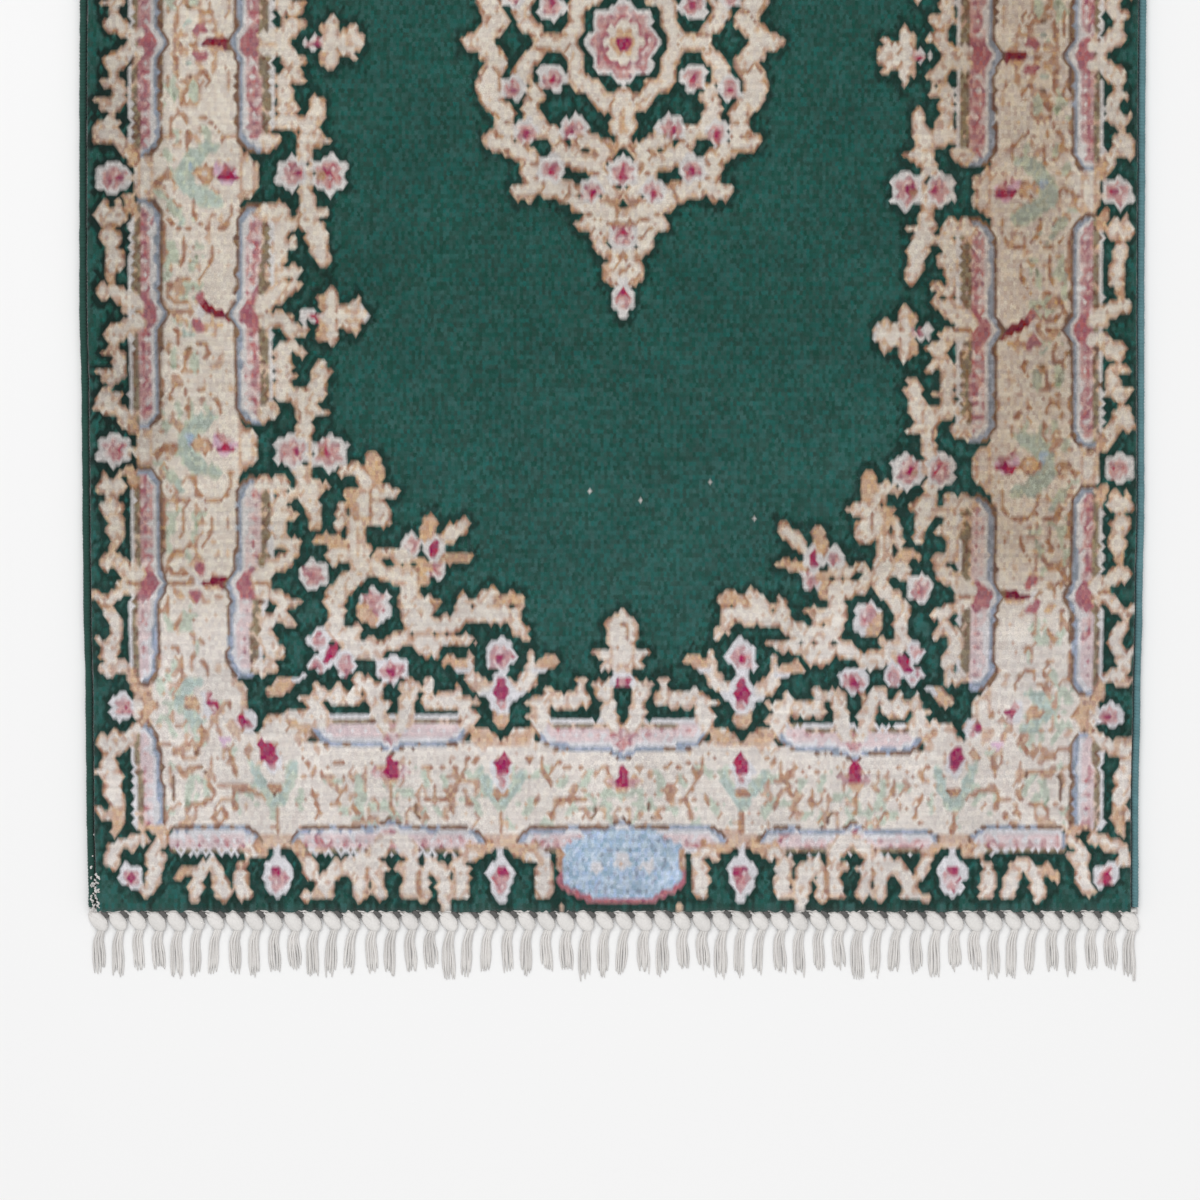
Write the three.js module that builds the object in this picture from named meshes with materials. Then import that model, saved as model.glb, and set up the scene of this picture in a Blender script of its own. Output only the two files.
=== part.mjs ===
// A small hand-knotted wool rug lying flat: the woven body with its pile, an overcast
// cord down each long side, and a knotted cotton fringe at each end.
// Millimetres, +Z up. The origin is on the floor under the middle of the rug, +Y along
// its length, and the underside of every piece lies on z = 0.
import * as THREE from "three";

// ---- driving dimensions ----
const PILE_HALF_LENGTH = 497.0; // half of the knotted length
const RUG_THICKNESS = 8.0; // foundation and pile together
const FOUNDATION = 2.4; // cotton warp and weft under the pile
const PILE_EDGE_SLUMP = 1.5; // how far the pile leans in at its top edge
const PILE_EDGE_DROP = 1.8; // depth of that rounded edge
const CORD_WIDTH = 4.6; // overcast side cord
const CORD_HEIGHT = 5.6;
const GAP = 0.3; // between two pieces
const END_STRIP = 3.4; // plain weft strip the fringe grows from
const END_STRIP_THICK = 2.0;
const FRINGE_TEETH = 54; // warp bundles at one end
const KNOT_LENGTH = 9.4;
const KNOT_WIDTH = 9.6;
const KNOT_HEIGHT = 4.4;
const TASSEL_THICK = 2.4;
const STEP_ALONG_SIDE = 25; // spacing of the sections down a side

// The two long edges, measured from the centre line: hand weaving left them uneven.
const SIDES = [
  { y: -497.0, left: -301.9, right: 302.5 },
  { y: -436.2, left: -303.1, right: 302.5 },
  { y: -378.8, left: -303.6, right: 303.6 },
  { y: -321.4, left: -304.8, right: 304.8 },
  { y: -264.0, left: -305.4, right: 305.9 },
  { y: -206.6, left: -305.9, right: 305.9 },
  { y: -149.2, left: -307.2, right: 305.9 },
  { y: -60.0, left: -307.2, right: 306.4 },
  { y: 60.0, left: -306.8, right: 307.2 },
  { y: 180.0, left: -306.3, right: 307.2 },
  { y: 300.0, left: -305.2, right: 306.4 },
  { y: 410.0, left: -304.4, right: 305.3 },
  { y: 497.0, left: -304.0, right: 304.6 },
];

// How the warp bundles differ from one another; the rows are used in turn.
const BUNDLES = [
  { length: 27, lean: 0.8, width: 6.4, knot: 1.0 },
  { length: 30, lean: -0.5, width: 5.6, knot: 0.94 },
  { length: 25, lean: 1.5, width: 6.8, knot: 1.03 },
  { length: 29, lean: 0.2, width: 6.0, knot: 0.98 },
  { length: 28, lean: -1.4, width: 5.4, knot: 0.95 },
  { length: 31, lean: 0.6, width: 6.6, knot: 1.02 },
  { length: 26, lean: 1.1, width: 6.1, knot: 0.97 },
];

// ---- helpers ----

// A side's distance from the centre line at y, eased between the rows of SIDES.
function sideAt(y, side) {
  let i = 0;
  while (i < SIDES.length - 2 && y > SIDES[i + 1].y) i++;
  const a = SIDES[i],
    b = SIDES[i + 1];
  const t = Math.min(1, Math.max(0, (y - a.y) / (b.y - a.y)));
  const ease = t * t * (3 - 2 * t);
  return a[side] + (b[side] - a[side]) * ease;
}

// The y of each section down a long side.
function stations() {
  const n = Math.round((2 * PILE_HALF_LENGTH) / STEP_ALONG_SIDE);
  return Array.from(
    { length: n + 1 },
    (_, i) => -PILE_HALF_LENGTH + (2 * PILE_HALF_LENGTH * i) / n,
  );
}

// A closed body from rings of the same number of points, each ring a list of [x, y, z].
// Seen from the last ring's side the points run anticlockwise.
function loft(rings) {
  const n = rings[0].length;
  const positions = rings.flat(2);
  const index = [];
  for (let r = 0; r < rings.length - 1; r++)
    for (let i = 0; i < n; i++) {
      const j = (i + 1) % n,
        a = r * n + i,
        b = r * n + j,
        c = (r + 1) * n + j,
        d = (r + 1) * n + i;
      index.push(a, b, c, a, c, d);
    }
  const last = (rings.length - 1) * n;
  const flat = capPlane(rings[0]);
  const faces = THREE.ShapeUtils.triangulateShape(flat, []);
  for (const [a, b, c] of faces) index.push(c, b, a);
  for (const [a, b, c] of THREE.ShapeUtils.triangulateShape(
    capPlane(rings[rings.length - 1]),
    [],
  ))
    index.push(last + a, last + b, last + c);
  const g = new THREE.BufferGeometry();
  g.setAttribute("position", new THREE.Float32BufferAttribute(positions, 3));
  g.setIndex(index);
  return g;
}

// A ring's points in its own plane: level rings use x and y, upright ones z and x.
function capPlane(ring) {
  const level = ring.every((p) => Math.abs(p[2] - ring[0][2]) < 1e-6);
  return ring.map((p) =>
    level ? new THREE.Vector2(p[0], p[1]) : new THREE.Vector2(p[2], p[0]),
  );
}

// An upright oval section at y, flat where it lies on the floor, with its points
// running anticlockwise seen from +Y.
function ovalSection(x, y, width, height, count) {
  const ring = [];
  for (let k = 0; k < count; k++) {
    const a = (2 * Math.PI * (k + 0.5)) / count - Math.PI / 2;
    const up = Math.sin(a),
      across = Math.cos(a);
    const lowest = Math.sin(Math.PI / count - Math.PI / 2);
    const highest = -lowest;
    const z = Math.max(0, (height * (up - lowest)) / (highest - lowest));
    ring.push([x - (width / 2) * across, y, z]);
  }
  return ring;
}

// ---- pieces ----

// The woven body: a flat slab between the side cords whose pile rounds over at the edge.
function rugBody() {
  const inset = CORD_WIDTH + GAP;
  const ys = stations();
  const outline = (pull, z) => [
    ...ys.map((y) => [
      sideAt(y, "right") - inset - pull,
      y * (1 - pull / PILE_HALF_LENGTH),
      z,
    ]),
    ...ys
      .slice()
      .reverse()
      .map((y) => [
        sideAt(y, "left") + inset + pull,
        y * (1 - pull / PILE_HALF_LENGTH),
        z,
      ]),
  ];
  return loft([
    outline(0, 0),
    outline(0, FOUNDATION),
    outline(0.1, RUG_THICKNESS - PILE_EDGE_DROP),
    outline(PILE_EDGE_SLUMP * 0.45, RUG_THICKNESS - PILE_EDGE_DROP * 0.35),
    outline(PILE_EDGE_SLUMP, RUG_THICKNESS),
  ]);
}

// The overcast cord down one long side.
function sideCord(side) {
  const outward = side === "left" ? -1 : 1;
  return loft(
    stations().map((y, i, all) => {
      const end = i === 0 || i === all.length - 1;
      const w = end ? CORD_WIDTH * 0.8 : CORD_WIDTH;
      const h = end ? CORD_HEIGHT * 0.8 : CORD_HEIGHT;
      return ovalSection(
        sideAt(y, side) - outward * (CORD_WIDTH / 2),
        y,
        w,
        h,
        10,
      );
    }),
  );
}

// The sections of one warp bundle, from the edge of the end strip through its knot to the
// tip of its tassel: distance from the strip, drift to the side, width and height.
function bundleSections(row) {
  const k = KNOT_LENGTH * row.knot;
  return [
    { out: 0, dx: 0, w: 5.4, h: END_STRIP_THICK },
    { out: k * 0.25, dx: -0.2, w: KNOT_WIDTH * 0.9 * row.knot, h: KNOT_HEIGHT * 0.95 },
    { out: k * 0.65, dx: 0.3, w: KNOT_WIDTH * row.knot, h: KNOT_HEIGHT },
    { out: k, dx: 0.4, w: row.width * 0.86, h: TASSEL_THICK },
    { out: k + row.length * 0.5, dx: row.lean * 0.5, w: row.width, h: TASSEL_THICK * 0.9 },
    { out: k + row.length, dx: row.lean, w: row.width * 0.5, h: TASSEL_THICK * 0.6 },
  ];
}

// The comb along one end: the plain strip and the warp bundles that grow from it, one
// closed surface. A bundle's section has five corners: two on the floor, two at its
// sides and one on its ridge. `end` is -1 at the lower end and +1 at the upper one.
function fringe(end) {
  const left = sideAt(end * PILE_HALF_LENGTH, "left"),
    right = sideAt(end * PILE_HALF_LENGTH, "right");
  const inner = PILE_HALF_LENGTH + GAP,
    outer = inner + END_STRIP;
  const pitch = (right - left) / FRINGE_TEETH;
  const positions = [],
    index = [];
  const point = (x, out, z) => positions.push([x, out, z]) - 1;
  const quad = (a, b, c, d) => index.push([a, b, c], [a, c, d]);

  const backLow = [point(left, inner, 0), point(right, inner, 0)];
  const backTop = [point(left, inner, END_STRIP_THICK), point(right, inner, END_STRIP_THICK)];
  const cornerLow = [point(left, outer, 0), point(right, outer, 0)];
  const cornerTop = [point(left, outer, END_STRIP_THICK), point(right, outer, END_STRIP_THICK)];
  const edgeLow = [cornerLow[0]],
    edgeTop = [cornerTop[0]];

  for (let i = 0; i < FRINGE_TEETH; i++) {
    const row = BUNDLES[(i * 3 + (end > 0 ? 2 : 0)) % BUNDLES.length];
    const x = left + pitch * (i + 0.5);
    const rings = bundleSections(row).map((s, k) => {
      const low = k ? 0.36 : 0.5,
        shoulder = k ? s.h * 0.5 : s.h;
      return [
        point(x + s.dx - s.w * low, outer + s.out, 0),
        point(x + s.dx - s.w / 2, outer + s.out, shoulder),
        point(x + s.dx, outer + s.out, s.h),
        point(x + s.dx + s.w / 2, outer + s.out, shoulder),
        point(x + s.dx + s.w * low, outer + s.out, 0),
      ];
    });
    for (let k = 0; k < rings.length - 1; k++)
      for (let c = 0; c < 5; c++)
        quad(rings[k][c], rings[k + 1][c], rings[k + 1][(c + 1) % 5], rings[k][(c + 1) % 5]);
    const tip = rings[rings.length - 1];
    index.push([tip[0], tip[4], tip[2]], [tip[0], tip[2], tip[1]], [tip[4], tip[3], tip[2]]);
    const [lowL, topL, ridge, topR, lowR] = rings[0];
    quad(edgeLow[edgeLow.length - 1], lowL, topL, edgeTop[edgeTop.length - 1]);
    edgeLow.push(lowL, lowR);
    edgeTop.push(topL, ridge, topR);
  }
  quad(edgeLow[edgeLow.length - 1], cornerLow[1], cornerTop[1], edgeTop[edgeTop.length - 1]);
  edgeLow.push(cornerLow[1]);
  edgeTop.push(cornerTop[1]);

  // The strip's top and underside, its two ends and the edge that faces the body.
  const flat = (ids) => ids.map((id) => new THREE.Vector2(positions[id][0], positions[id][1]));
  const topFace = [...edgeTop, backTop[1], backTop[0]],
    lowFace = [...edgeLow, backLow[1], backLow[0]];
  for (const t of THREE.ShapeUtils.triangulateShape(flat(topFace), []))
    index.push(upwards(t.map((k) => topFace[k]), positions, 1));
  for (const t of THREE.ShapeUtils.triangulateShape(flat(lowFace), []))
    index.push(upwards(t.map((k) => lowFace[k]), positions, -1));
  quad(backLow[0], cornerLow[0], cornerTop[0], backTop[0]);
  quad(cornerLow[1], backLow[1], backTop[1], cornerTop[1]);
  quad(backLow[1], backLow[0], backTop[0], backTop[1]);

  // Built pointing along +Y; the side walls above run outward-facing for that end with
  // x across, so the triangles turn round once, and the lower end turns them back.
  const g = new THREE.BufferGeometry();
  g.setAttribute(
    "position",
    new THREE.Float32BufferAttribute(
      positions.flatMap(([x, out, z]) => [x, end * out, z]),
      3,
    ),
  );
  g.setIndex(index.flatMap(([a, b, c]) => (end > 0 ? [a, c, b] : [a, b, c])));
  return g;
}

// A triangle's corners ordered so that, with x across and the outward distance as y, it
// faces down when `sense` is 1 and up when it is -1, as the comb's other faces do.
function upwards([a, b, c], positions, sense) {
  const [ax, ay] = positions[a],
    [bx, by] = positions[b],
    [cx, cy] = positions[c];
  const turn = (bx - ax) * (cy - ay) - (by - ay) * (cx - ax);
  return turn * sense < 0 ? [a, b, c] : [a, c, b];
}

// ---- assembly ----
const wool = (color) =>
  new THREE.MeshStandardMaterial({ color, roughness: 0.95, metalness: 0 });

function piece(name, geometry, color) {
  const mesh = new THREE.Mesh(geometry, wool(color));
  geometry.computeVertexNormals();
  mesh.name = name;
  return mesh;
}

const rug = new THREE.Group();
rug.add(
  piece("rug_body", rugBody(), 0x5f6f5e),
  piece("selvedge_left", sideCord("left"), 0x2c4f47),
  piece("selvedge_right", sideCord("right"), 0x4d686e),
  piece("fringe_bottom", fringe(-1), 0xd3cec8),
  piece("fringe_top", fringe(1), 0xd3cec8),
);

export default rug;
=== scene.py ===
import math

import bpy
import numpy as np
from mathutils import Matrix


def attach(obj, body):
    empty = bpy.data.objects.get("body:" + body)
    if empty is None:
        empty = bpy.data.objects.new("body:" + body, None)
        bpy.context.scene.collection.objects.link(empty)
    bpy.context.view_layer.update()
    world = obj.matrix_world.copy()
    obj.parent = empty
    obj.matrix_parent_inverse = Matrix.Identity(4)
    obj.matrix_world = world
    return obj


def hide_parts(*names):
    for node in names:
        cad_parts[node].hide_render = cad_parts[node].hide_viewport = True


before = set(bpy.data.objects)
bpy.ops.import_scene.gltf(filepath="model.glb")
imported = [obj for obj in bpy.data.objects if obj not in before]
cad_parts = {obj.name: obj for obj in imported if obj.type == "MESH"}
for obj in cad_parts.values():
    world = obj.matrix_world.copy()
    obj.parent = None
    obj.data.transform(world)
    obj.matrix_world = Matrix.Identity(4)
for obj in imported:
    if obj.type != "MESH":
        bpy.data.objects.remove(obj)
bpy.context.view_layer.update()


# ------------------------------------------------------------------ the weaver's chart
# One quarter of the design, drawn in chart units of 0.574 mm: x to the right and y down
# towards the rug's lower end. The other three quarters turn it over, each a little off,
# as a weaver working from one quarter does.
UNIT = 0.000574
CX0, CX1, CY0, CY1 = 70, 640, 34, 918  # the chart's columns and rows
MID_Y = 42.0  # the rug's cross centre line
AXIS_X = 621.5  # the design's long centre line

(GREEN, IVORY, TAN, PINK, WHITE, CRIMSON, ROSE, AQUA, OLIVE, BLUE, BROWN, SKY, GARNET,
 SAND, DEEP, SAGE, TEAL, LILAC, FAWN, MOSS, BLUSH, MIST, THREAD) = range(23)

# The dye lot of each chart colour, as sRGB; DEEP also serves as painted shade round the forms.
DYES = {
    GREEN: (33, 78, 70), IVORY: (220, 208, 196), TAN: (174, 134, 110), PINK: (192, 150, 148),
    WHITE: (212, 206, 204), CRIMSON: (160, 62, 92), ROSE: (172, 110, 116), AQUA: (176, 186, 176),
    OLIVE: (140, 124, 102), BLUE: (150, 157, 170), BROWN: (128, 98, 80), SKY: (164, 182, 199),
    GARNET: (128, 40, 56), SAND: (202, 166, 138), DEEP: (20, 52, 45), SAGE: (188, 192, 174),
    TEAL: (77, 104, 110), LILAC: (210, 176, 192), FAWN: (203, 173, 152), MOSS: (150, 160, 138),
    BLUSH: (212, 190, 187), MIST: (188, 200, 210), THREAD: (190, 156, 134),
}


def curve(points, n=22):
    """A smooth line through the control points, each (x, y, half width)."""
    p = np.array(points, float)
    if len(p) == 2:
        t = np.linspace(0, 1, n)[:, None]
        return p[0] * (1 - t) + p[1] * t
    q = np.vstack([2 * p[0] - p[1], p, 2 * p[-1] - p[-2]])
    out = []
    per = max(4, n // (len(p) - 1))
    for i in range(1, len(q) - 2):
        t = np.linspace(0, 1, per, endpoint=i == len(q) - 3)[:, None]
        a, b, c, d = q[i - 1], q[i], q[i + 1], q[i + 2]
        out.append(0.5 * (2 * b + (c - a) * t + (2 * a - 5 * b + 4 * c - d) * t**2
                          + (3 * b - a - 3 * c + d) * t**3))
    r = np.vstack(out)
    r[:, 2] = np.maximum(r[:, 2], 0.4)
    return r


def lattice_noise(h, w, step, seed):
    """Smooth noise from -1 to 1 whose bumps are about `step` apart."""
    rng = np.random.RandomState(seed)
    gy, gx = np.arange(h) / step, np.arange(w) / step
    g = rng.uniform(-1, 1, (int(gy[-1]) + 3, int(gx[-1]) + 3))
    iy, ix = gy.astype(int), gx.astype(int)
    fy, fx = gy - iy, gx - ix
    fy, fx = (fy * fy * (3 - 2 * fy))[:, None], (fx * fx * (3 - 2 * fx))[None, :]
    a, b = g[iy][:, ix], g[iy][:, ix + 1]
    c, d = g[iy + 1][:, ix], g[iy + 1][:, ix + 1]
    return (a * (1 - fx) + b * fx) * (1 - fy) + (c * (1 - fx) + d * fx) * fy


class Chart:
    def __init__(self):
        self.c = np.full((CY1 - CY0, CX1 - CX0), GREEN, np.uint8)
        self.rough = lattice_noise(CY1 - CY0, CX1 - CX0, 5.2, 8)  # the jagged outline of knotted forms
        self.jag = 2.0

    def window(self, x0, y0, x1, y1):
        a, b = max(CX0, int(x0)), min(CX1, int(x1) + 1)
        c, d = max(CY0, int(y0)), min(CY1, int(y1) + 1)
        if a >= b or c >= d:
            return None
        ys, xs = np.mgrid[c:d, a:b] + 0.5
        return (slice(c - CY0, d - CY0), slice(a - CX0, b - CX0)), xs, ys

    def put(self, sl, d, fill, line=None, lw=2.8):
        v = self.c[sl]
        d = d + self.rough[sl] * self.jag
        if line is not None:
            v[d < lw] = line
        if fill is not None:
            v[d < 0] = fill

    def limb(self, points, fill=IVORY, line=TAN, lw=2.8, lobes=0, depth=0.0, vein=None, tip=None):
        """A stem, arm or leaf: a smooth line with a half width at each point, its edge
        scalloped into lobes, with a vein down the middle if asked."""
        r = curve(points)
        if lobes:
            t = np.linspace(0, 1, len(r))
            r[:, 2] *= 1 + depth * np.cos(2 * np.pi * lobes * t + 0.6)
        pad = r[:, 2].max() + (lw if line is not None else 0) + 2
        w = self.window(r[:, 0].min() - pad, r[:, 1].min() - pad, r[:, 0].max() + pad, r[:, 1].max() + pad)
        if w is None:
            return
        sl, xs, ys = w
        d = np.full(xs.shape, 1e9)
        for (ax, ay, ar), (bx, by, br) in zip(r[:-1], r[1:]):
            ux, uy = bx - ax, by - ay
            t = np.clip(((xs - ax) * ux + (ys - ay) * uy) / max(ux * ux + uy * uy, 1e-9), 0, 1)
            d = np.minimum(d, np.hypot(xs - ax - ux * t, ys - ay - uy * t) - (ar + (br - ar) * t))
        self.put(sl, d, fill, line, lw)
        if vein is not None:
            m = r[2:-2]
            self.line(m[:, :2], vein, 1.5)

    def line(self, pts, ink, w=1.7):
        pts = np.array(pts, float)[:, :2]
        if len(pts) > 2 and len(pts) < 9:
            pts = curve([(x, y, 1) for x, y in pts])[:, :2]
        pad = w + 2
        win = self.window(pts[:, 0].min() - pad, pts[:, 1].min() - pad, pts[:, 0].max() + pad, pts[:, 1].max() + pad)
        if win is None:
            return
        sl, xs, ys = win
        d = np.full(xs.shape, 1e9)
        for (ax, ay), (bx, by) in zip(pts[:-1], pts[1:]):
            ux, uy = bx - ax, by - ay
            t = np.clip(((xs - ax) * ux + (ys - ay) * uy) / max(ux * ux + uy * uy, 1e-9), 0, 1)
            d = np.minimum(d, np.hypot(xs - ax - ux * t, ys - ay - uy * t))
        self.c[sl][d < w] = ink

    def lobed(self, x, y, rx, ry, fill, line=None, lw=2.8, petals=5, depth=0.14, turn=0.0, lean=0.0):
        """A round form with petals; lean tips it over, in degrees."""
        pad = max(rx, ry) * (1 + depth) + lw + 2
        w = self.window(x - pad, y - pad, x + pad, y + pad)
        if w is None:
            return
        sl, xs, ys = w
        a = np.radians(lean)
        u = ((xs - x) * np.cos(a) + (ys - y) * np.sin(a)) / rx
        v = (-(xs - x) * np.sin(a) + (ys - y) * np.cos(a)) / ry
        rho, th = np.hypot(u, v), np.arctan2(v, u)
        edge = 1 + depth * np.cos(petals * (th - np.radians(turn)))
        d = (rho - edge) * min(rx, ry)
        self.put(sl, d, fill, line, lw)

    def bud(self, x, y, r, face=0.0, ink=CRIMSON, petals=5, core=0.3, stretch=1.0, ring=WHITE, flesh=PINK, push=0.25):
        """A bud or small blossom: pale lobed outline, pink flesh and a dark heart set
        towards `face`, in degrees from +x."""
        a = np.radians(face)
        self.lobed(x, y, r * stretch, r, ring, DEEP, 1.2, petals, 0.13, face + 180 / petals, face)
        self.lobed(x + r * 0.08 * np.cos(a), y + r * 0.08 * np.sin(a), r * 0.72 * stretch, r * 0.72, flesh,
                   None, 0, petals, 0.12, face + 180 / petals, face)
        self.lobed(x + r * push * np.cos(a), y + r * push * np.sin(a), r * core * 1.25 * stretch, r * core, ink,
                   None, 0, 3, 0.12, face, face)


# ---- the repeats. Each is drawn once, beside the waist it grows from, and set again along
# the border between every waist and flower; `a` runs from the waist to the flower.
class Repeat:
    """Moves a drawing from the half repeat it was made for to another one."""

    def __init__(self, made, placed, upright):
        self.m, self.p, self.up = made, placed, upright

    def __call__(self, x, y, w=None):
        (m0, m1), (p0, p1) = self.m, self.p
        v = y if self.up else x
        v = p0 + (v - m0) * (p1 - p0) / (m1 - m0)
        q = (x, v) if self.up else (v, y)
        return q if w is None else (*q, w)


SIDE_WAISTS = (584.0, 313.0, 42.0)
SIDE_FLOWERS = (449.0, 177.0)
END_WAISTS = (390.5, 624.0)
MADE_SIDE = {0: (313.0, 449.0), 1: (584.0, 449.0), 2: (584.0, 703.0)}
MADE_END = {0: (390.5, 501.0), 1: (390.5, 278.0)}
# waist, where the run ends, and which drawing it takes
SIDE_RUNS = [(584, 703, 2), (584, 449, 1), (313, 449, 0), (313, 177, 1), (42, 177, 0), (42, -93, 0)]
END_RUNS = [(390.5, 278, 1), (390.5, 501, 0), (624, 501, 0), (624, 748, 0)]

# The ivory vine outside the outer guard on the long sides: form, drawing, (x, y, half width)
OUTER_SIDE = [
    ("leaf", 0, [(139, 322, 3.5), (127, 322, 4)]),
    ("leaf", 0, [(121, 331, 4.5), (114, 334, 5.5), (110, 328, 2.5)]),
    ("leaf", 0, [(114, 340, 2.2), (114, 345, 2)]),
    ("leaf", 0, [(113, 349, 2.5), (118, 358, 4.2), (118, 371, 4.5), (111, 381, 4)]),
    ("prong", 0, [(113, 350, 2.5), (102, 353, 1.6)]),
    ("prong", 0, [(112, 374, 2.5), (96, 371, 1.5)]),
    ("prong", 0, [(109, 380, 3), (101, 377, 1.6)]),
    ("rust", 0, [(106, 388, 2.2), (107, 391, 2)]),
    ("leaf", 0, [(102, 398, 5), (113, 396, 5)]),
    ("leaf", 0, [(100, 406, 4), (112, 405, 5)]),
    ("prong", 0, [(100, 409, 2), (100, 414, 1)]),
    ("leaf", 0, [(119, 409, 2.5), (124, 418, 4), (129, 427, 3)]),
    ("tan", 0, [(130, 420, 3), (133, 431, 3.5)]),
    ("leaf", 1, [(102, 488, 5), (118, 488, 5.5)]),
    ("prong", 1, [(103, 482, 3), (103, 475, 1.4)]),
    ("prong", 1, [(117, 482, 3), (117, 475, 1.4)]),
    ("rust", 1, [(109, 497, 2.5), (114, 498, 2.5)]),
    ("leaf", 1, [(104, 507, 4), (113, 510, 6)]),
    ("leaf", 1, [(112, 523, 5), (114, 535, 6)]),
    ("tan", 1, [(111, 545, 2.6), (109, 552, 2.4)]),
    ("leaf", 1, [(112, 560, 3.5), (102, 562, 3.4), (104, 568, 1.6)]),
    ("leaf", 1, [(113, 561, 4), (123, 568, 5), (138, 575, 5)]),
    ("stem", 1, [(124, 582, 1.2), (139, 582, 1.2)]),
    ("tan", 1, [(128, 470, 3), (132, 482, 3.6)]),
    ("leaf", 2, [(124, 587, 3.4), (138, 587, 3.8)]),
    ("prong", 2, [(96, 595, 2.6), (108, 601, 3)]),
    ("prong", 2, [(122, 593, 3.8), (112, 602, 3.4)]),
    ("rust", 2, [(107, 607, 2.6), (112, 608, 2.2)]),
    ("leaf", 2, [(110, 613, 3), (118, 622, 4.4), (119, 636, 5), (113, 649, 5.4), (107, 656, 4)]),
    ("prong", 2, [(108, 645, 3), (99, 640, 1.6)]),
    ("leaf", 2, [(108, 668, 3.8), (118, 664, 3.6), (127, 668, 4)]),
    ("prong", 2, [(108, 670, 2), (108, 675, 1.2)]),
    ("prong", 2, [(117, 668, 2), (117, 673, 1.2)]),
    ("tan", 2, [(134, 673, 3), (139, 686, 4)]),
]
# The vine between the inner guard and the field on the long sides
INNER_SIDE = [
    ("leaf", 0, [(266, 319, 4), (283, 319, 5), (291, 328, 5), (292, 334, 4.4)]),
    ("prong", 0, [(292, 335, 4), (304, 332, 2)]),
    ("tan", 0, [(292, 340, 2.2), (292, 344, 2.2)]),
    ("leaf", 0, [(284, 348, 4), (296, 347, 3.4), (303, 353, 1.6)]),
    ("leaf", 0, [(284, 350, 5), (284, 368, 5.2), (283, 386, 5)]),
    ("prong", 0, [(290, 377, 1.6), (297, 378, 1)]),
    ("leaf", 0, [(281, 393, 5), (301, 394, 5)]),
    ("leaf", 0, [(266, 413, 5), (273, 411, 5)]),
    ("prong", 0, [(265, 416, 2.4), (265, 422, 1.2)]),
    ("leaf", 1, [(262, 485, 4), (283, 484, 4)]),
    ("prong", 1, [(266, 482, 2.4), (266, 476, 1.2)]),
    ("prong", 1, [(277, 482, 2.4), (278, 476, 1.2)]),
    ("leaf", 1, [(293, 495, 2.6), (283, 498, 4), (280, 512, 4.6), (279, 528, 4), (279, 537, 2.6)]),
    ("prong", 1, [(284, 514, 3), (293, 512, 2.4), (292, 519, 1.6)]),
    ("leaf", 1, [(280, 544, 3), (297, 542, 3)]),
    ("leaf", 1, [(296, 555, 3), (286, 560, 4.4), (276, 563, 5)]),
    ("leaf", 1, [(278, 566, 5), (268, 573, 5.2), (260, 577, 5)]),
    ("stem", 1, [(262, 584, 1.2), (274, 584, 1.2)]),
    ("leaf", 2, [(260, 590, 3.4), (276, 596, 4), (286, 602, 4.4), (298, 600, 2)]),
    ("leaf", 2, [(268, 621, 3), (280, 616, 3.6), (290, 621, 2.4), (295, 626, 1)]),
    ("leaf", 2, [(268, 624, 4), (268, 640, 4), (276, 652, 5.4)]),
    ("leaf", 2, [(260, 666, 4), (273, 665, 3.4)]),
    ("prong", 2, [(264, 668, 2), (264, 674, 1.2)]),
    ("prong", 2, [(274, 668, 2), (275, 672, 1.2)]),
]
# The vine outside the outer guard along the ends
OUTER_END = [
    ("leaf", 1, [(388, 838, 3), (381, 846, 5.4), (375, 853, 4.6)]),
    ("leaf", 1, [(363, 862, 5), (361, 878, 5.4), (359, 893, 4.6)]),
    ("leaf", 1, [(375, 864, 4.4), (377, 880, 5), (382, 894, 4.6)]),
    ("stem", 1, [(368, 866, 1.3), (368, 897, 1.3)]),
    ("prong", 1, [(382, 868, 2.6), (388, 868, 1.6)]),
    ("leaf", 1, [(338, 868, 6), (352, 866, 6)]),
    ("leaf", 1, [(330, 878, 5), (324, 889, 5)]),
    ("leaf", 1, [(306, 896, 2.8), (330, 896, 3.8)]),
    ("leaf", 1, [(303, 857, 3.4), (310, 866, 4.4), (313, 876, 4)]),
    ("tan", 1, [(294, 846, 3.4), (302, 851, 3.6)]),
    ("leaf", 0, [(396, 838, 3.4), (406, 846, 5.4), (412, 856, 4.6)]),
    ("prong", 0, [(404, 868, 3.6), (397, 867, 1.6)]),
    ("leaf", 0, [(412, 866, 4.6), (415, 880, 5.6), (410, 895, 5)]),
    ("leaf", 0, [(424, 876, 3.6), (424, 896, 4)]),
    ("stem", 0, [(419, 872, 1.2), (419, 898, 1.2)]),
    ("leaf", 0, [(432, 865, 4.6), (440, 872, 5.4), (445, 886, 5.4), (446, 901, 4.4)]),
    ("leaf", 0, [(459, 862, 3.8), (463, 874, 5), (462, 893, 5)]),
    ("stem", 0, [(454, 868, 1.2), (455, 896, 1.2)]),
    ("prong", 0, [(464, 868, 2.4), (470, 869, 1.4)]),
    ("tan", 0, [(470, 847, 3.8), (482, 850, 4.4), (491, 846, 3)]),
    ("leaf", 0, [(466, 854, 2.6), (476, 857, 2.6)]),
]
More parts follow.
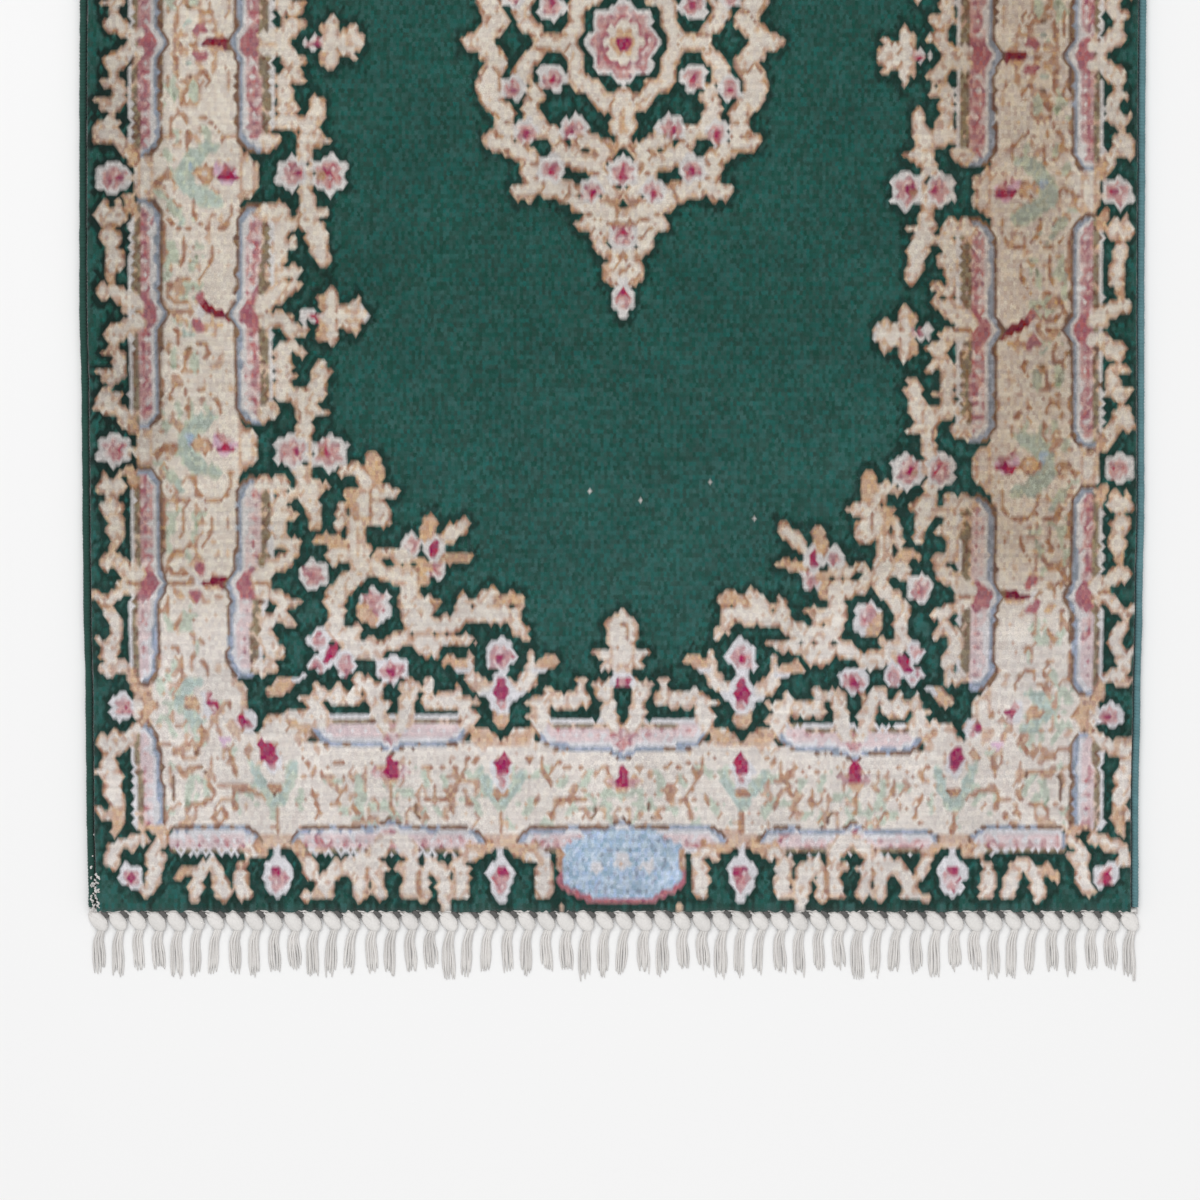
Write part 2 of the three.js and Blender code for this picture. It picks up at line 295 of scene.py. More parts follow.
# The crowned brackets over the inner guard along the ends
INNER_END = [
    ("leaf", 1, [(385, 730, 2), (380, 718, 4.6), (374, 704, 5.2), (370, 690, 4.4), (369, 682, 3)]),
    ("prong", 1, [(381, 706, 3), (388, 705, 1.6)]),
    ("prong", 1, [(376, 694, 3), (380, 685, 1.8)]),
    ("leaf", 1, [(322, 695, 4), (338, 698, 5.2), (354, 696, 5)]),
    ("prong", 1, [(319, 690, 3), (318, 683, 1.6)]),
    ("prong", 1, [(337, 692, 3), (337, 682, 1.4)]),
    ("prong", 1, [(356, 688, 4), (358, 678, 2.2)]),
    ("leaf", 1, [(314, 702, 4), (318, 712, 5), (320, 724, 4.4)]),
    ("prong", 1, [(312, 700, 2), (306, 700, 1.4)]),
    ("leaf", 1, [(298, 716, 4), (311, 721, 4)]),
    ("leaf", 0, [(397, 730, 2), (403, 718, 5.2), (404, 704, 4.6), (410, 692, 4.6), (414, 685, 3.6)]),
    ("prong", 0, [(404, 690, 3), (404, 682, 1.8)]),
    ("leaf", 0, [(428, 701, 4.6), (444, 701, 5.2), (458, 699, 4)]),
    ("prong", 0, [(428, 693, 3), (429, 679, 2)]),
    ("prong", 0, [(456, 694, 3), (459, 688, 1.6)]),
    ("leaf", 0, [(464, 704, 5), (466, 716, 5), (468, 727, 3.8)]),
    ("prong", 0, [(470, 702, 2.4), (477, 702, 1.4)]),
    ("prong", 0, [(471, 717, 2.4), (478, 718, 1.4)]),
    ("tan", 0, [(474, 731, 3.4), (486, 738, 3.6)]),
    ("tan", 1, [(300, 724, 3), (308, 730, 3.4)]),
]

# The main border's scrollwork: ink, drawing, half width, (x, y)
SCROLL_SIDE = [
    (TAN, 0, 1.8, [(176, 328), (178, 338), (177, 347)]), (BROWN, 0, 1.9, [(187, 349), (192, 348)]),
    (TAN, 0, 1.9, [(187, 352), (185, 362), (181, 374)]), (TAN, 0, 1.6, [(198, 342), (207, 344), (209, 352), (205, 358)]),
    (SAGE, 0, 3.8, [(172, 352), (174, 364)]), (MOSS, 0, 2.2, [(173, 364), (175, 369)]), (SAGE, 0, 3.6, [(194, 354), (194, 369)]),
    (AQUA, 0, 2.2, [(184, 331), (192, 335)]), (TAN, 0, 1.4, [(162, 376), (162, 391)]),
    (TAN, 0, 1.8, [(171, 402), (171, 392), (178, 385), (185, 388), (186, 396)]),
    (TAN, 0, 1.7, [(188, 401), (188, 412), (187, 421)]),
    (TAN, 0, 1.6, [(196, 392), (203, 390), (211, 394), (219, 404), (220, 414), (217, 420)]),
    (SAGE, 0, 3.0, [(164, 422), (168, 430)]), (SAGE, 0, 2.4, [(176, 403), (178, 411)]), (SAGE, 0, 2.6, [(204, 402), (208, 410)]),
    (TAN, 0, 1.7, [(154, 453), (163, 446), (170, 444), (178, 452), (183, 459)]),
    (TAN, 0, 1.5, [(166, 334), (168, 352)]), (SAND, 0, 3.2, [(178, 318), (186, 322)]),
    (TAN, 1, 2.1, [(182, 511), (183, 524), (180, 538)]), (SAGE, 1, 3.2, [(172, 515), (170, 530)]), (SAGE, 1, 2.6, [(166, 536), (167, 550)]),
    (TAN, 1, 1.7, [(212, 519), (210, 532), (200, 549)]), (SAGE, 1, 2.4, [(194, 518), (202, 516)]), (MOSS, 1, 1.8, [(194, 524), (195, 529)]),
    (SAGE, 1, 2.4, [(193, 532), (191, 542)]), (SAND, 1, 3.8, [(174, 556), (186, 556)]),
    (TAN, 1, 1.6, [(169, 562), (174, 552), (188, 547)]), (SAGE, 1, 2.8, [(184, 552), (189, 559)]), (TAN, 1, 1.5, [(169, 568), (178, 574), (188, 572)]),
    (TAN, 1, 1.7, [(193, 478), (196, 491), (205, 500), (217, 502), (226, 496), (230, 484), (229, 473)]),
    (TAN, 1, 1.6, [(169, 491), (176, 500), (186, 502), (194, 497)]),
    (SAGE, 1, 4.4, [(167, 476), (177, 484)]), (AQUA, 1, 2.8, [(177, 482), (181, 493)]), (SAGE, 1, 2.6, [(156, 464), (163, 468)]),
    (TAN, 1, 1.3, [(163, 494), (162, 530)]), (TAN, 1, 1.6, [(156, 458), (165, 449), (173, 453), (186, 464), (193, 476)]),
    (TAN, 1, 1.5, [(168, 556), (166, 570)]),
    (SAND, 2, 3.2, [(176, 592), (184, 597)]), (TAN, 2, 1.7, [(169, 598), (171, 612)]), (SAGE, 2, 2.8, [(169, 618), (173, 630)]),
    (TAN, 2, 1.6, [(177, 630), (184, 618)]), (SAGE, 2, 2.6, [(195, 614), (194, 628)]), (TAN, 2, 1.5, [(196, 614), (199, 624)]),
    (TAN, 2, 1.5, [(174, 646), (183, 650), (187, 662), (186, 680)]), (TAN, 2, 1.5, [(196, 658), (206, 660), (214, 668), (216, 679)]),
    (SAGE, 2, 2.8, [(179, 660), (177, 673)]), (SAGE, 2, 2.8, [(166, 684), (163, 692)]), (TAN, 2, 1.4, [(204, 634), (210, 644)]),
    (TAN, 2, 1.3, [(163, 640), (163, 668)]), (SAGE, 2, 2.2, [(204, 640), (204, 650)]),
]
SCROLL_END = [
    (TAN, 0, 1.6, [(428, 769), (436, 765), (445, 769)]), (TAN, 0, 1.6, [(448, 762), (456, 768), (458, 780), (454, 792)]),
    (SAGE, 0, 3.6, [(423, 774), (427, 785)]), (SAGE, 0, 2.6, [(443, 778), (448, 786)]), (TAN, 0, 1.8, [(420, 797), (436, 799), (450, 797)]),
    (BROWN, 0, 1.6, [(415, 806), (419, 820)]), (TAN, 0, 1.8, [(448, 798), (452, 808), (456, 817)]), (TAN, 0, 1.5, [(465, 756), (464, 768), (460, 782)]),
    (TAN, 0, 1.5, [(468, 755), (481, 757)]), (SAGE, 0, 3.0, [(402, 790), (411, 794)]), (SAGE, 0, 2.6, [(435, 808), (441, 814)]),
    (SAGE, 0, 3.0, [(474, 802), (480, 814)]), (TAN, 0, 1.6, [(501, 806), (501, 832)]), (TAN, 0, 1.5, [(434, 786), (436, 798)]),
    (TAN, 0, 1.5, [(466, 796), (472, 806)]), (SAGE, 0, 2.2, [(468, 772), (474, 778)]), (TAN, 0, 1.4, [(424, 812), (428, 820)]),
    (TAN, 1, 1.6, [(328, 766), (336, 762), (344, 764)]), (TAN, 1, 1.6, [(343, 776), (345, 788), (337, 798)]),
    (SAGE, 1, 3.6, [(356, 776), (361, 790)]), (SAGE, 1, 2.8, [(333, 778), (338, 782)]), (TAN, 1, 1.9, [(311, 790), (315, 800), (320, 812), (315, 818)]),
    (TAN, 1, 1.6, [(352, 806), (358, 812), (363, 819)]), (SAGE, 1, 2.6, [(341, 806), (346, 813)]), (TAN, 1, 1.8, [(390, 788), (390, 808)]),
    (TAN, 1, 1.5, [(304, 758), (310, 766), (312, 778)]), (SAGE, 1, 2.6, [(300, 790), (303, 800)]), (TAN, 1, 1.4, [(328, 800), (332, 808)]),
    (TAN, 1, 1.4, [(322, 768), (320, 780)]), (SAGE, 1, 2.2, [(372, 800), (376, 808)]),
]
# Corner of the main border: a square leaf in its frame, and the angle's own stems
CORNER = [
    (BROWN, 1.9, [(172, 777), (171, 790), (172, 802)]), (TAN, 1.8, [(177, 772), (190, 770), (205, 770)]), (BROWN, 1.9, [(204, 768), (207, 776)]),
    (SAGE, 3.0, [(190, 780), (186, 792), (186, 803)]), (SAGE, 2.8, [(196, 778), (206, 786), (206, 796)]), (MOSS, 1.8, [(184, 800), (186, 804)]),
    (TAN, 1.9, [(182, 812), (192, 806), (208, 801), (214, 792), (208, 787)]), (TAN, 1.8, [(210, 820), (216, 813), (224, 811), (225, 818), (217, 822)]),
    (TAN, 1.7, [(237, 753), (237, 779)]), (TAN, 1.7, [(234, 791), (246, 791), (258, 794)]), (TAN, 1.9, [(233, 794), (235, 811)]),
    (SAGE, 2.4, [(252, 798), (256, 806)]), (SAGE, 2.2, [(298, 800), (302, 810)]), (TAN, 1.6, [(277, 808), (277, 832)]),
    (TAN, 1.6, [(174, 746), (178, 756), (190, 757)]), (TAN, 1.6, [(196, 722), (206, 724), (210, 736), (204, 750), (196, 752)]),
    (SAGE, 2.8, [(164, 716), (172, 724), (180, 738)]), (SAGE, 3.2, [(200, 730), (202, 742)]), (TAN, 1.5, [(158, 706), (180, 706)]),
    (BROWN, 1.4, [(198, 754), (206, 752)]), (SAGE, 2.0, [(170, 762), (172, 768)]), (TAN, 1.4, [(252, 756), (256, 768)]),
]

GUARD_SIDE = (4.4, 11.5, 23.2, 26.8, 30.6, 34.2)
GUARD_IN = (6.0, 14.5, 28.2, 31.8, 36.4, 40.0)


def draw_guard(ch, along, cross, sections, waists, edges, reach=9.0, blunt=(), pale=0.0, heart=(ROSE, 15), teeth=1.5):
    """The guard stripes over the whole chart: `along` and `cross` are arrays, and edges are
    where the serrated white, olive, pink, white, blue and brown stripes end. The pale ones
    turn round the end of each section."""
    e0, e1, e2, e3, e4, e5 = edges
    inside = np.full(along.shape, -1e9)
    for a, b in sections:
        near_a, near_b = along - a, b - along
        if a in blunt:
            near_a = near_a * 4
        if b in blunt:
            near_b = near_b * 4
        inside = np.maximum(inside, np.minimum(near_a, near_b))
    dw = np.full(along.shape, 1e9)
    for w in waists:
        dw = np.minimum(dw, np.abs(along - w))
    bulge = reach * np.clip(1 - dw / 15.0, 0, 1)
    r = (e2 - e1) * 0.95
    end = 9.0  # room for the stripes that turn round the end
    cx = np.maximum(cross - bulge - (e2 - r), 0)
    ax = np.maximum(r - (inside - end), 0)
    d = np.hypot(cx, ax) - r
    rough = ch.rough * 0.9
    pale = np.broadcast_to(pale, along.shape)
    d = d + rough
    live = (cross > e0) & (inside > -1)
    for limit, ink in ((e5 - e2, BROWN), (e4 - e2, BLUE), (e3 - e2, WHITE)):
        ch.c[live & (d < limit) & (cross > e1 - 2)] = ink
    ch.c[live & (d < 0) & (cross > e1)] = PINK
    ch.c[live & (d < 0) & (cross > e1) & (pale > rough * 0.5 + 0.5)] = BLUSH
    # the plain side: olive and the saw-toothed white
    saw = 2.7 + teeth * np.sin(along * 2 * np.pi / 8.6) + rough * 0.3
    side = inside > 5
    ch.c[side & (cross >= saw) & (cross < e1)] = OLIVE
    ch.c[side & (np.abs(cross - saw) < 1.75)] = WHITE
    mid = (e1 + e2) / 2
    core = live & (d < -2.0) & (cross > e1)
    ph = (along / 13.2) % 1
    zig = mid + 1.6 * np.sign(((along / 6.6) % 2) - 1)
    deep = core & (np.abs(cross - zig) < 2.4) & (ph < 0.46)
    ch.c[deep & (pale < 0.5)] = ROSE
    ch.c[deep & (pale >= 0.5)] = PINK
    ch.c[core & (np.abs(cross - zig) < 2.2) & (ph > 0.56) & (ph < 0.82)] = WHITE
    ch.c[live & (dw < heart[1] - np.abs(cross - mid) * 0.3) & (cross > e1 - 1) & (d < 0)] = heart[0]


STYLES = {  # form: fill, line, line width, lobes, depth
    "leaf": (IVORY, FAWN, 1.9, 2.5, 0.12), "prong": (IVORY, FAWN, 1.6, 0, 0), "tan": (SAND, TAN, 1.4, 0, 0),
    "rust": (TAN, None, 0, 0, 0), "stem": (TAN, None, 0, 0, 0),
}


def draw_forms(ch, rows, place=None):
    for form, pts in rows:
        fill, line, lw, lobes, depth = STYLES[form]
        if place is not None:
            pts = [place(*p) for p in pts]
        more = 1.2 if form == "leaf" else 1.12
        ch.limb([(x, y, w * more + 0.4) for x, y, w in pts], fill, line, lw, lobes, depth)


def draw_repeat(ch, table, runs, made, upright, move=None):
    """Every form of a vine, in each of its runs; `move` says where a drawing made beside the
    narrowed part of the border belongs."""
    for p0, p1, kind in runs:
        place = Repeat(made[kind], (p0, p1), upright)
        rows = [(form, pts) for form, drawing, pts in table if drawing == kind]
        if move is not None and kind == 2:
            rows = [(form, [move(*p) for p in pts]) for form, pts in rows]
        draw_forms(ch, rows, place)


def beside_inner(x, y, w=0.0):
    back = 1 - ss(np.float64(x), 262, 330)
    return x + 9.0 * back * ss(np.float64(y), 550, 640), y, w


def beside_outer(x, y, w=0.0):
    return x - 5.0 * (1 - ss(np.float64(x), 100, 240)), y, w


def draw_scroll(ch, table, runs, made, upright):
    for p0, p1, kind in runs:
        place = Repeat(made[kind], (p0, p1), upright)
        for ink, drawing, w, pts in table:
            if drawing == kind:
                if ink == SAGE:
                    ch.limb([place(x, y, w) for x, y in pts], SAGE, THREAD, 1.3)
                else:
                    ch.line([place(*p) for p in pts], ink, w)


# The corner spray of the field
SPRAY = [
    # the ring vine
    ("leaf", [(362, 573, 5), (351, 580, 5.6), (342, 588, 6.4)]),
    ("leaf", [(336, 595, 7), (334, 604, 6.4)]),
    ("leaf", [(336, 613, 5.6), (336, 626, 6.2), (339, 637, 5.4)]),
    ("prong", [(344, 635, 4), (354, 632, 3), (357, 625, 1.6)]),
    ("leaf", [(350, 648, 5.6), (366, 649, 6), (380, 648, 5.6)]),
    ("leaf", [(373, 565, 4), (382, 572, 4.8), (394, 576, 5), (407, 574, 4.6)]),
    ("prong", [(376, 561, 3.4), (381, 554, 3.6), (391, 551, 2)]),
    ("leaf", [(411, 581, 5.6), (409, 596, 6.4), (410, 610, 6.4)]),
    ("leaf", [(420, 604, 4.6), (432, 604, 5)]),
    ("tan", [(436, 602, 2.6), (440, 603, 2)]),
    ("leaf", [(413, 620, 6.6), (424, 626, 6.2)]),
    # the tall acanthus
    ("leaf", [(361, 565, 5.6), (358, 550, 7.4), (356, 537, 6.6), (357, 522, 6.4)]),
    ("tan", [(352, 495, 5), (358, 502, 6), (358, 512, 6)]),
    ("tan", [(372, 486, 6.4), (376, 474, 7), (374, 461, 6), (373, 456, 3)]),
    ("leaf", [(366, 483, 4), (358, 472, 4), (350, 470, 4), (341, 475, 2)]),
    ("leaf", [(376, 495, 5), (388, 492, 4), (396, 494, 1.8)]),
    ("leaf", [(376, 508, 5.6), (385, 511, 4.2)]),
    ("leaf", [(376, 520, 4), (388, 523, 2)]),
    ("leaf", [(364, 500, 4), (366, 518, 4)]),
    ("leaf", [(340, 504, 2.2), (341, 518, 3.4), (339, 531, 2.2)]),
    ("tan", [(317, 541, 2), (328, 540, 4.4), (341, 545, 5)]),
    ("leaf", [(330, 554, 3), (343, 556, 5)]),
    ("prong", [(336, 559, 2.6), (334, 564, 1.4)]),
    # arms to the palmette, and its petals
    ("leaf", [(399, 556, 3.8), (411, 558, 4.6)]),
    ("tan", [(426, 537, 5.4), (429, 525, 5), (431, 518, 2.4)]),
    ("leaf", [(443, 541, 4), (453, 532, 4.4), (463, 524, 3.4)]),
    ("tan", [(443, 556, 5), (456, 558, 3.8), (469, 557, 1)]),
    ("tan", [(422, 570, 4), (424, 582, 3.4)]),
    # the arabesque towards the end's middle
    ("leaf", [(429, 622, 4.6), (444, 626, 5.4), (457, 621, 4.6)]),
    ("leaf", [(461, 617, 4), (463, 606, 4.8), (464, 597, 2)]),
    ("leaf", [(474, 616, 4), (486, 614, 5.4), (498, 616, 5)]),
    ("leaf", [(480, 602, 4), (487, 596, 4.8), (493, 589, 1.8)]),
    ("tan", [(500, 601, 3.8), (512, 599, 4.2), (521, 600, 3.4)]),
    ("leaf", [(502, 611, 3), (515, 614, 4)]),
    ("leaf", [(514, 622, 3), (521, 630, 3), (528, 635, 2)]),
    ("leaf", [(440, 638, 3.4), (458, 640, 3.4), (475, 641, 1.6)]),
    ("leaf", [(420, 642, 5.6), (432, 644, 6)]),
    ("prong", [(427, 650, 3), (426, 657, 1.2)]),
    ("prong", [(434, 650, 3), (435, 657, 1.2)]),
    ("leaf", [(392, 643, 4.6), (403, 636, 5.4)]),
]
# The stems and leaves of the paired blossoms, up to the waist above and down from it
BLOSSOM_UP = [
    ("leaf", [(323, 363, 2.4), (320, 374, 5), (317, 388, 6.8), (316, 397, 6)]),
    ("prong", [(321, 373, 3), (329, 370, 1.4)]),
    ("leaf", [(305, 405, 5.6), (306, 420, 4.8), (304, 436, 4.6)]),
    ("prong", [(311, 409, 3.4), (326, 414, 1.8)]),
    ("rust", [(299, 408, 1.6), (298, 418, 1.6)]),
]
BLOSSOM_DOWN = [
    ("leaf", [(305, 464, 4.4), (303, 477, 5)]),
    ("leaf", [(306, 487, 5.4), (317, 488, 5.6)]),
    ("prong", [(322, 486, 2.4), (330, 484, 1.2)]),
    ("leaf", [(308, 500, 6.2), (315, 512, 5.6)]),
    ("leaf", [(316, 519, 4), (317, 526, 3)]),
]
# The lower corner's outer vine
CORNER_VINE = [
    ("leaf", [(108, 746, 6), (120, 745, 6)]),
    ("prong", [(104, 741, 2.6), (103, 733, 1.4)]),
    ("prong", [(118, 740, 2.8), (118, 732, 1.4)]),
    ("leaf", [(124, 743, 4), (134, 735, 4), (141, 728, 3)]),
    ("rust", [(108, 756, 2), (116, 757, 2)]),
    ("leaf", [(110, 765, 5.6), (112, 778, 6.6), (112, 792, 6.6), (117, 802, 4.6)]),
    ("prong", [(104, 772, 3), (98, 773, 1.4)]),
    ("leaf", [(96, 808, 1.4), (100, 814, 2.4), (109, 815, 2.4)]),
    ("tan", [(118, 813, 4.8), (117, 825, 4.8), (114, 834, 2.6)]),
    ("leaf", [(142, 839, 3.8), (127, 843, 4.2), (114, 847, 4.2)]),
    ("leaf", [(112, 852, 4.8), (111, 864, 4.2)]),
    ("tan", [(149, 828, 2), (163, 832, 3.4)]),
    ("leaf", [(160, 842, 3.8), (154, 853, 4.6), (154, 867, 5.4), (153, 879, 5), (146, 891, 5)]),
    ("prong", [(160, 858, 3), (166, 856, 1.4)]),
    ("tan", [(178, 876, 3), (187, 870, 4.2)]),
    ("leaf", [(195, 895, 4.2), (196, 881, 4.6), (200, 869, 4.6)]),
    ("leaf", [(204, 865, 4.2), (216, 867, 4.6)]),
    ("leaf", [(218, 876, 4.2), (222, 887, 5), (225, 896, 3.6)]),
    ("leaf", [(241, 868, 3), (240, 881, 4.2), (244, 894, 4.6)]),
    ("prong", [(241, 867, 2.4), (247, 864, 1.4)]),
    ("leaf", [(249, 850, 3.4), (259, 853, 3.8)]),
    ("tan", [(258, 846, 3), (264, 852, 3.4)]),
]


def star_ornament(ch, x, y, out, size=1.0):
    """The star-shaped fleuron on a waist, pointing along `out` (a unit vector)."""
    ox, oy = out
    px, py = -oy, ox

    def at(u, v, w=0.0):
        return (x + ox * u * size + px * v * size, y + oy * u * size + py * v * size, w * size)

    for s in (-1, 1):
        ch.limb([at(17, s * 8, 6.5), at(19, s * 18, 6), at(20, s * 28, 1.6)], IVORY, FAWN, 1.9)
        ch.limb([at(8, s * 20, 2), at(11, s * 12, 4.4)], SAND, TAN, 1.2)
        ch.limb([at(36, s * 8, 5), at(44, s * 15, 1.8)], IVORY, FAWN, 1.7)
    ch.limb([at(18, 0, 8), at(32, 0, 10), at(44, 0, 8), at(49, 0, 4)], IVORY, FAWN, 1.9, 2.5, 0.12)
    for s in (-1, 1):
        ch.line([at(23, s * 8)[:2], at(28, s * 2)[:2]], TAN, 1.5)
        ch.line([at(34, s * 3)[:2], at(42, s * 4)[:2]], FAWN, 1.6)
    ch.limb([at(52, -7, 1.6), at(50, -9, 1.4)], WHITE, None)
    ch.limb([at(55, 2, 1.8), at(52, 4, 1.4)], WHITE, None)
    ch.limb([at(-9, -5, 2.6), at(-7, 5, 2.6)], WHITE, None)
    ch.limb([at(-4, -4, 4.4), at(2, 3, 5)], WHITE, None)
    ch.limb([at(-3, 0, 2.6), at(7, 0, 4)], PINK, None)
    ch.limb([at(0, -1, 1.8), at(4, 1, 2)], CRIMSON, None)


def spire_ornament(ch, x, y):
    """The fleuron over the end's middle: a lobed head, two wings and a bud below."""
    def at(u, v, w=0.0):
        return (x + v, y - u, w)

    ch.limb([at(14, 0, 5), at(24, 0, 8)], IVORY, FAWN, 1.9)
    for s in (-1, 1):
        ch.limb([at(22, s * 6, 6), at(28, s * 16, 5), at(31, s * 28, 2)], IVORY, FAWN, 1.8, 1.5, 0.1)
        ch.limb([at(18, s * 8, 4.4), at(18, s * 20, 3.6)], IVORY, FAWN, 1.7)
        ch.limb([at(60, s * 8, 5), at(60, s * 16, 2.6)], IVORY, FAWN, 1.7)
    ch.limb([at(34, 0, 12), at(46, 0, 14), at(57, 0, 12), at(66, 0, 6), at(72, 0, 4.4)], IVORY, FAWN, 1.9, 2.5, 0.1)
    for s in (-1, 1):
        ch.line([at(44, s * 7)[:2], at(58, s * 7)[:2]], TAN, 1.3)
        ch.line([at(58, s * 5)[:2], at(64, s * 1)[:2]], TAN, 1.2)
    ch.line([at(36, -6)[:2], at(33, 0)[:2], at(36, 6)[:2]], TAN, 1.3)
    ch.limb([at(2, -9, 5), at(5, 0, 7), at(2, 9, 5)], WHITE, DEEP, 1.0)
    ch.limb([at(3, -7, 3.4), at(5, 0, 4.4), at(3, 7, 3.4)], PINK, None)
    for s in (-1, 1):
        ch.limb([at(2, s * 7, 2.6), at(5, s * 4, 2.2)], CRIMSON, None)


def end_ornament(ch, x):
    """The double blossom over an end flower, with its curling arms."""
    for s in (-1, 1):
        ch.limb([(x + s * 6, 694, 5), (x + s * 20, 686, 6.4), (x + s * 30, 674, 5), (x + s * 31, 662, 2.8), (x + s * 31, 654, 1.8)],
                IVORY, FAWN, 1.9, 2, 0.08)
        ch.limb([(x + s * 33, 670, 3.4), (x + s * 42, 670, 3.6)], WHITE, None)
        ch.limb([(x + s * 40, 664, 4), (x + s * 50, 660, 4.4), (x + s * 56, 662, 2)], SAND, TAN, 1.2)
    ch.limb([(x, 708, 5), (x, 716, 7.4), (x, 722, 5)], SAND, TAN, 1.3)
    ch.limb([(x, 674, 4), (x, 684, 9), (x, 696, 11), (x, 706, 7.4)], WHITE, FAWN, 1.2)
    for s in (-1, 1):
        ch.limb([(x + s * 8, 696, 6), (x + s * 19, 694, 2.6)], WHITE, None)
    ch.limb([(x, 696, 7), (x, 704, 5)], PINK, None)
    ch.limb([(x, 680, 2.4), (x, 687, 5.8), (x, 693, 7.6)], CRIMSON, None)
    ch.bud(x - 0.5, 655, 15.5, 90, CRIMSON, 5, 0.26, 1.05, push=0.2)


def side_flower(ch, y, k=1.0):
    """The long border's blossom: a pale aqua crescent round a tan heart, and a bright bud."""
    ch.limb([(215, y - 31 * k, 3), (204, y - 28 * k, 7), (193, y - 18 * k, 7.4), (185, y - 5 * k, 8), (188, y + 9 * k, 7.6), (201, y + 20 * k, 8),
             (217, y + 24 * k, 5)], AQUA, SAGE, 1.4, 3, 0.1)
    ch.limb([(188, y - 12 * k, 3), (190, y - 4 * k, 3)], SKY, None)
    ch.limb([(198, y - 4 * k, 5), (205, y - 3 * k, 7)], SAND, TAN, 1.6)
    ch.limb([(203, y - 3 * k, 2.4), (206, y - 3 * k, 2.4)], IVORY, None)
    ch.limb([(218, y - 8 * k, 5.4), (230, y - 6 * k, 6.4), (226, y + 3 * k, 6.6)], LILAC, None)
    ch.limb([(222, y - 12 * k, 4), (230, y - 8 * k, 4)], PINK, None)
    ch.limb([(219, y, 2.4), (226, y + 0.5, 4), (235, y + 1, 3)], CRIMSON, None)


def end_flower(ch, x, y=780.0, k=1.0):
    """The end border's blossom: a V of aqua round a tan heart under a two-lobed bud."""
    for s in (-1, 1):
        ch.limb([(x + s * 20 * k, y - 12, 3.4), (x + s * 15 * k, y - 2, 4.4), (x + s * 9 * k, y + 10, 4.6), (x + s * 2, y + 19, 4)], AQUA, SAGE, 1.3, 2, 0.14)
        ch.limb([(x + s * 7, y - 20, 3), (x + s * 11, y - 14, 3)], WHITE, None)
        ch.line([(x + s * 24 * k, y - 22), (x + s * 33 * k, y - 24)], TAN, 1.3)
    ch.limb([(x - 3, y + 8, 4.6), (x + 3, y + 8, 4.6)], TAN, BROWN, 0.9)
    ch.limb([(x, y - 8, 8.4), (x, y, 5)], WHITE, None)
    ch.limb([(x, y - 8, 5), (x, y - 2, 3)], PINK, None)
    ch.limb([(x - 2, y - 20, 5.4), (x + 3, y - 24, 5.6)], CRIMSON, None)
    ch.limb([(x + 3, y - 30, 3), (x, y - 15, 6)], CRIMSON, None)


def side_waist(ch, y, slant=0.0):
    ch.limb([(200, y - 16, 5), (203, y - 10, 4)], ROSE, SAND, 1.2)
    ch.limb([(196, y + 10, 4.4), (203, y + 14, 4.4)], ROSE, SAND, 1.2)
    ch.line([(170, y - 1), (186, y - 1)], TAN, 1.6)
    ch.limb([(191, y - 3, 3), (195, y - 2, 4)], TAN, None)
    ch.limb([(199, y - 3, 2.8), (201, y, 2.8)], WHITE, None)
    ch.line([(208, y + slant + 5), (224, y + slant + 6)], SAND, 2.0)
    ch.limb([(206, y - slant, 3.6), (218, y, 4.4), (231, y + slant, 4)], GARNET, None)


def end_waist(ch, x, y):
    for s in (-1, 1):
        ch.limb([(x + s * 9, y + 19, 3.6), (x + s * 15, y + 15, 3.6)], PINK, SAND, 1.6)
        ch.line([(x + s * 16, y + 10), (x + s * 19, y + 4)], TAN, 1.4)
    ch.limb([(x - 6, y + 26, 2.2), (x + 6, y + 26, 2.2)], SAND, None)
    ch.limb([(x, y + 5, 4.6), (x, y + 11, 6.8), (x, y + 18, 6.2)], CRIMSON, None)
    ch.line([(x, y + 30), (x, y + 44)], TAN, 1.5)


def end_bud(ch, x, wide=1.0, long=0.0):
    """The turnip-shaped bud that hangs over the plain edge."""
    ch.limb([(x - 1, 848, 2.6), (x, 858, 2.2)], WHITE, None)
    ch.limb([(x - 9 * wide, 870, 6), (x, 868, 7), (x + 9 * wide, 870, 6)], WHITE, DEEP, 1.0)
    ch.limb([(x, 872, 13 * wide), (x, 882, 10 * wide), (x, 890 + long, 5.4), (x, 894 + long, 3.4)], WHITE, DEEP, 1.0, 2, 0.06)
    ch.limb([(x, 876, 8 * wide), (x, 884, 6), (x, 890, 2.6)], PINK, None)
    ch.limb([(x - 4 * wide, 870, 3), (x + 5 * wide, 871, 3.2)], CRIMSON, None)


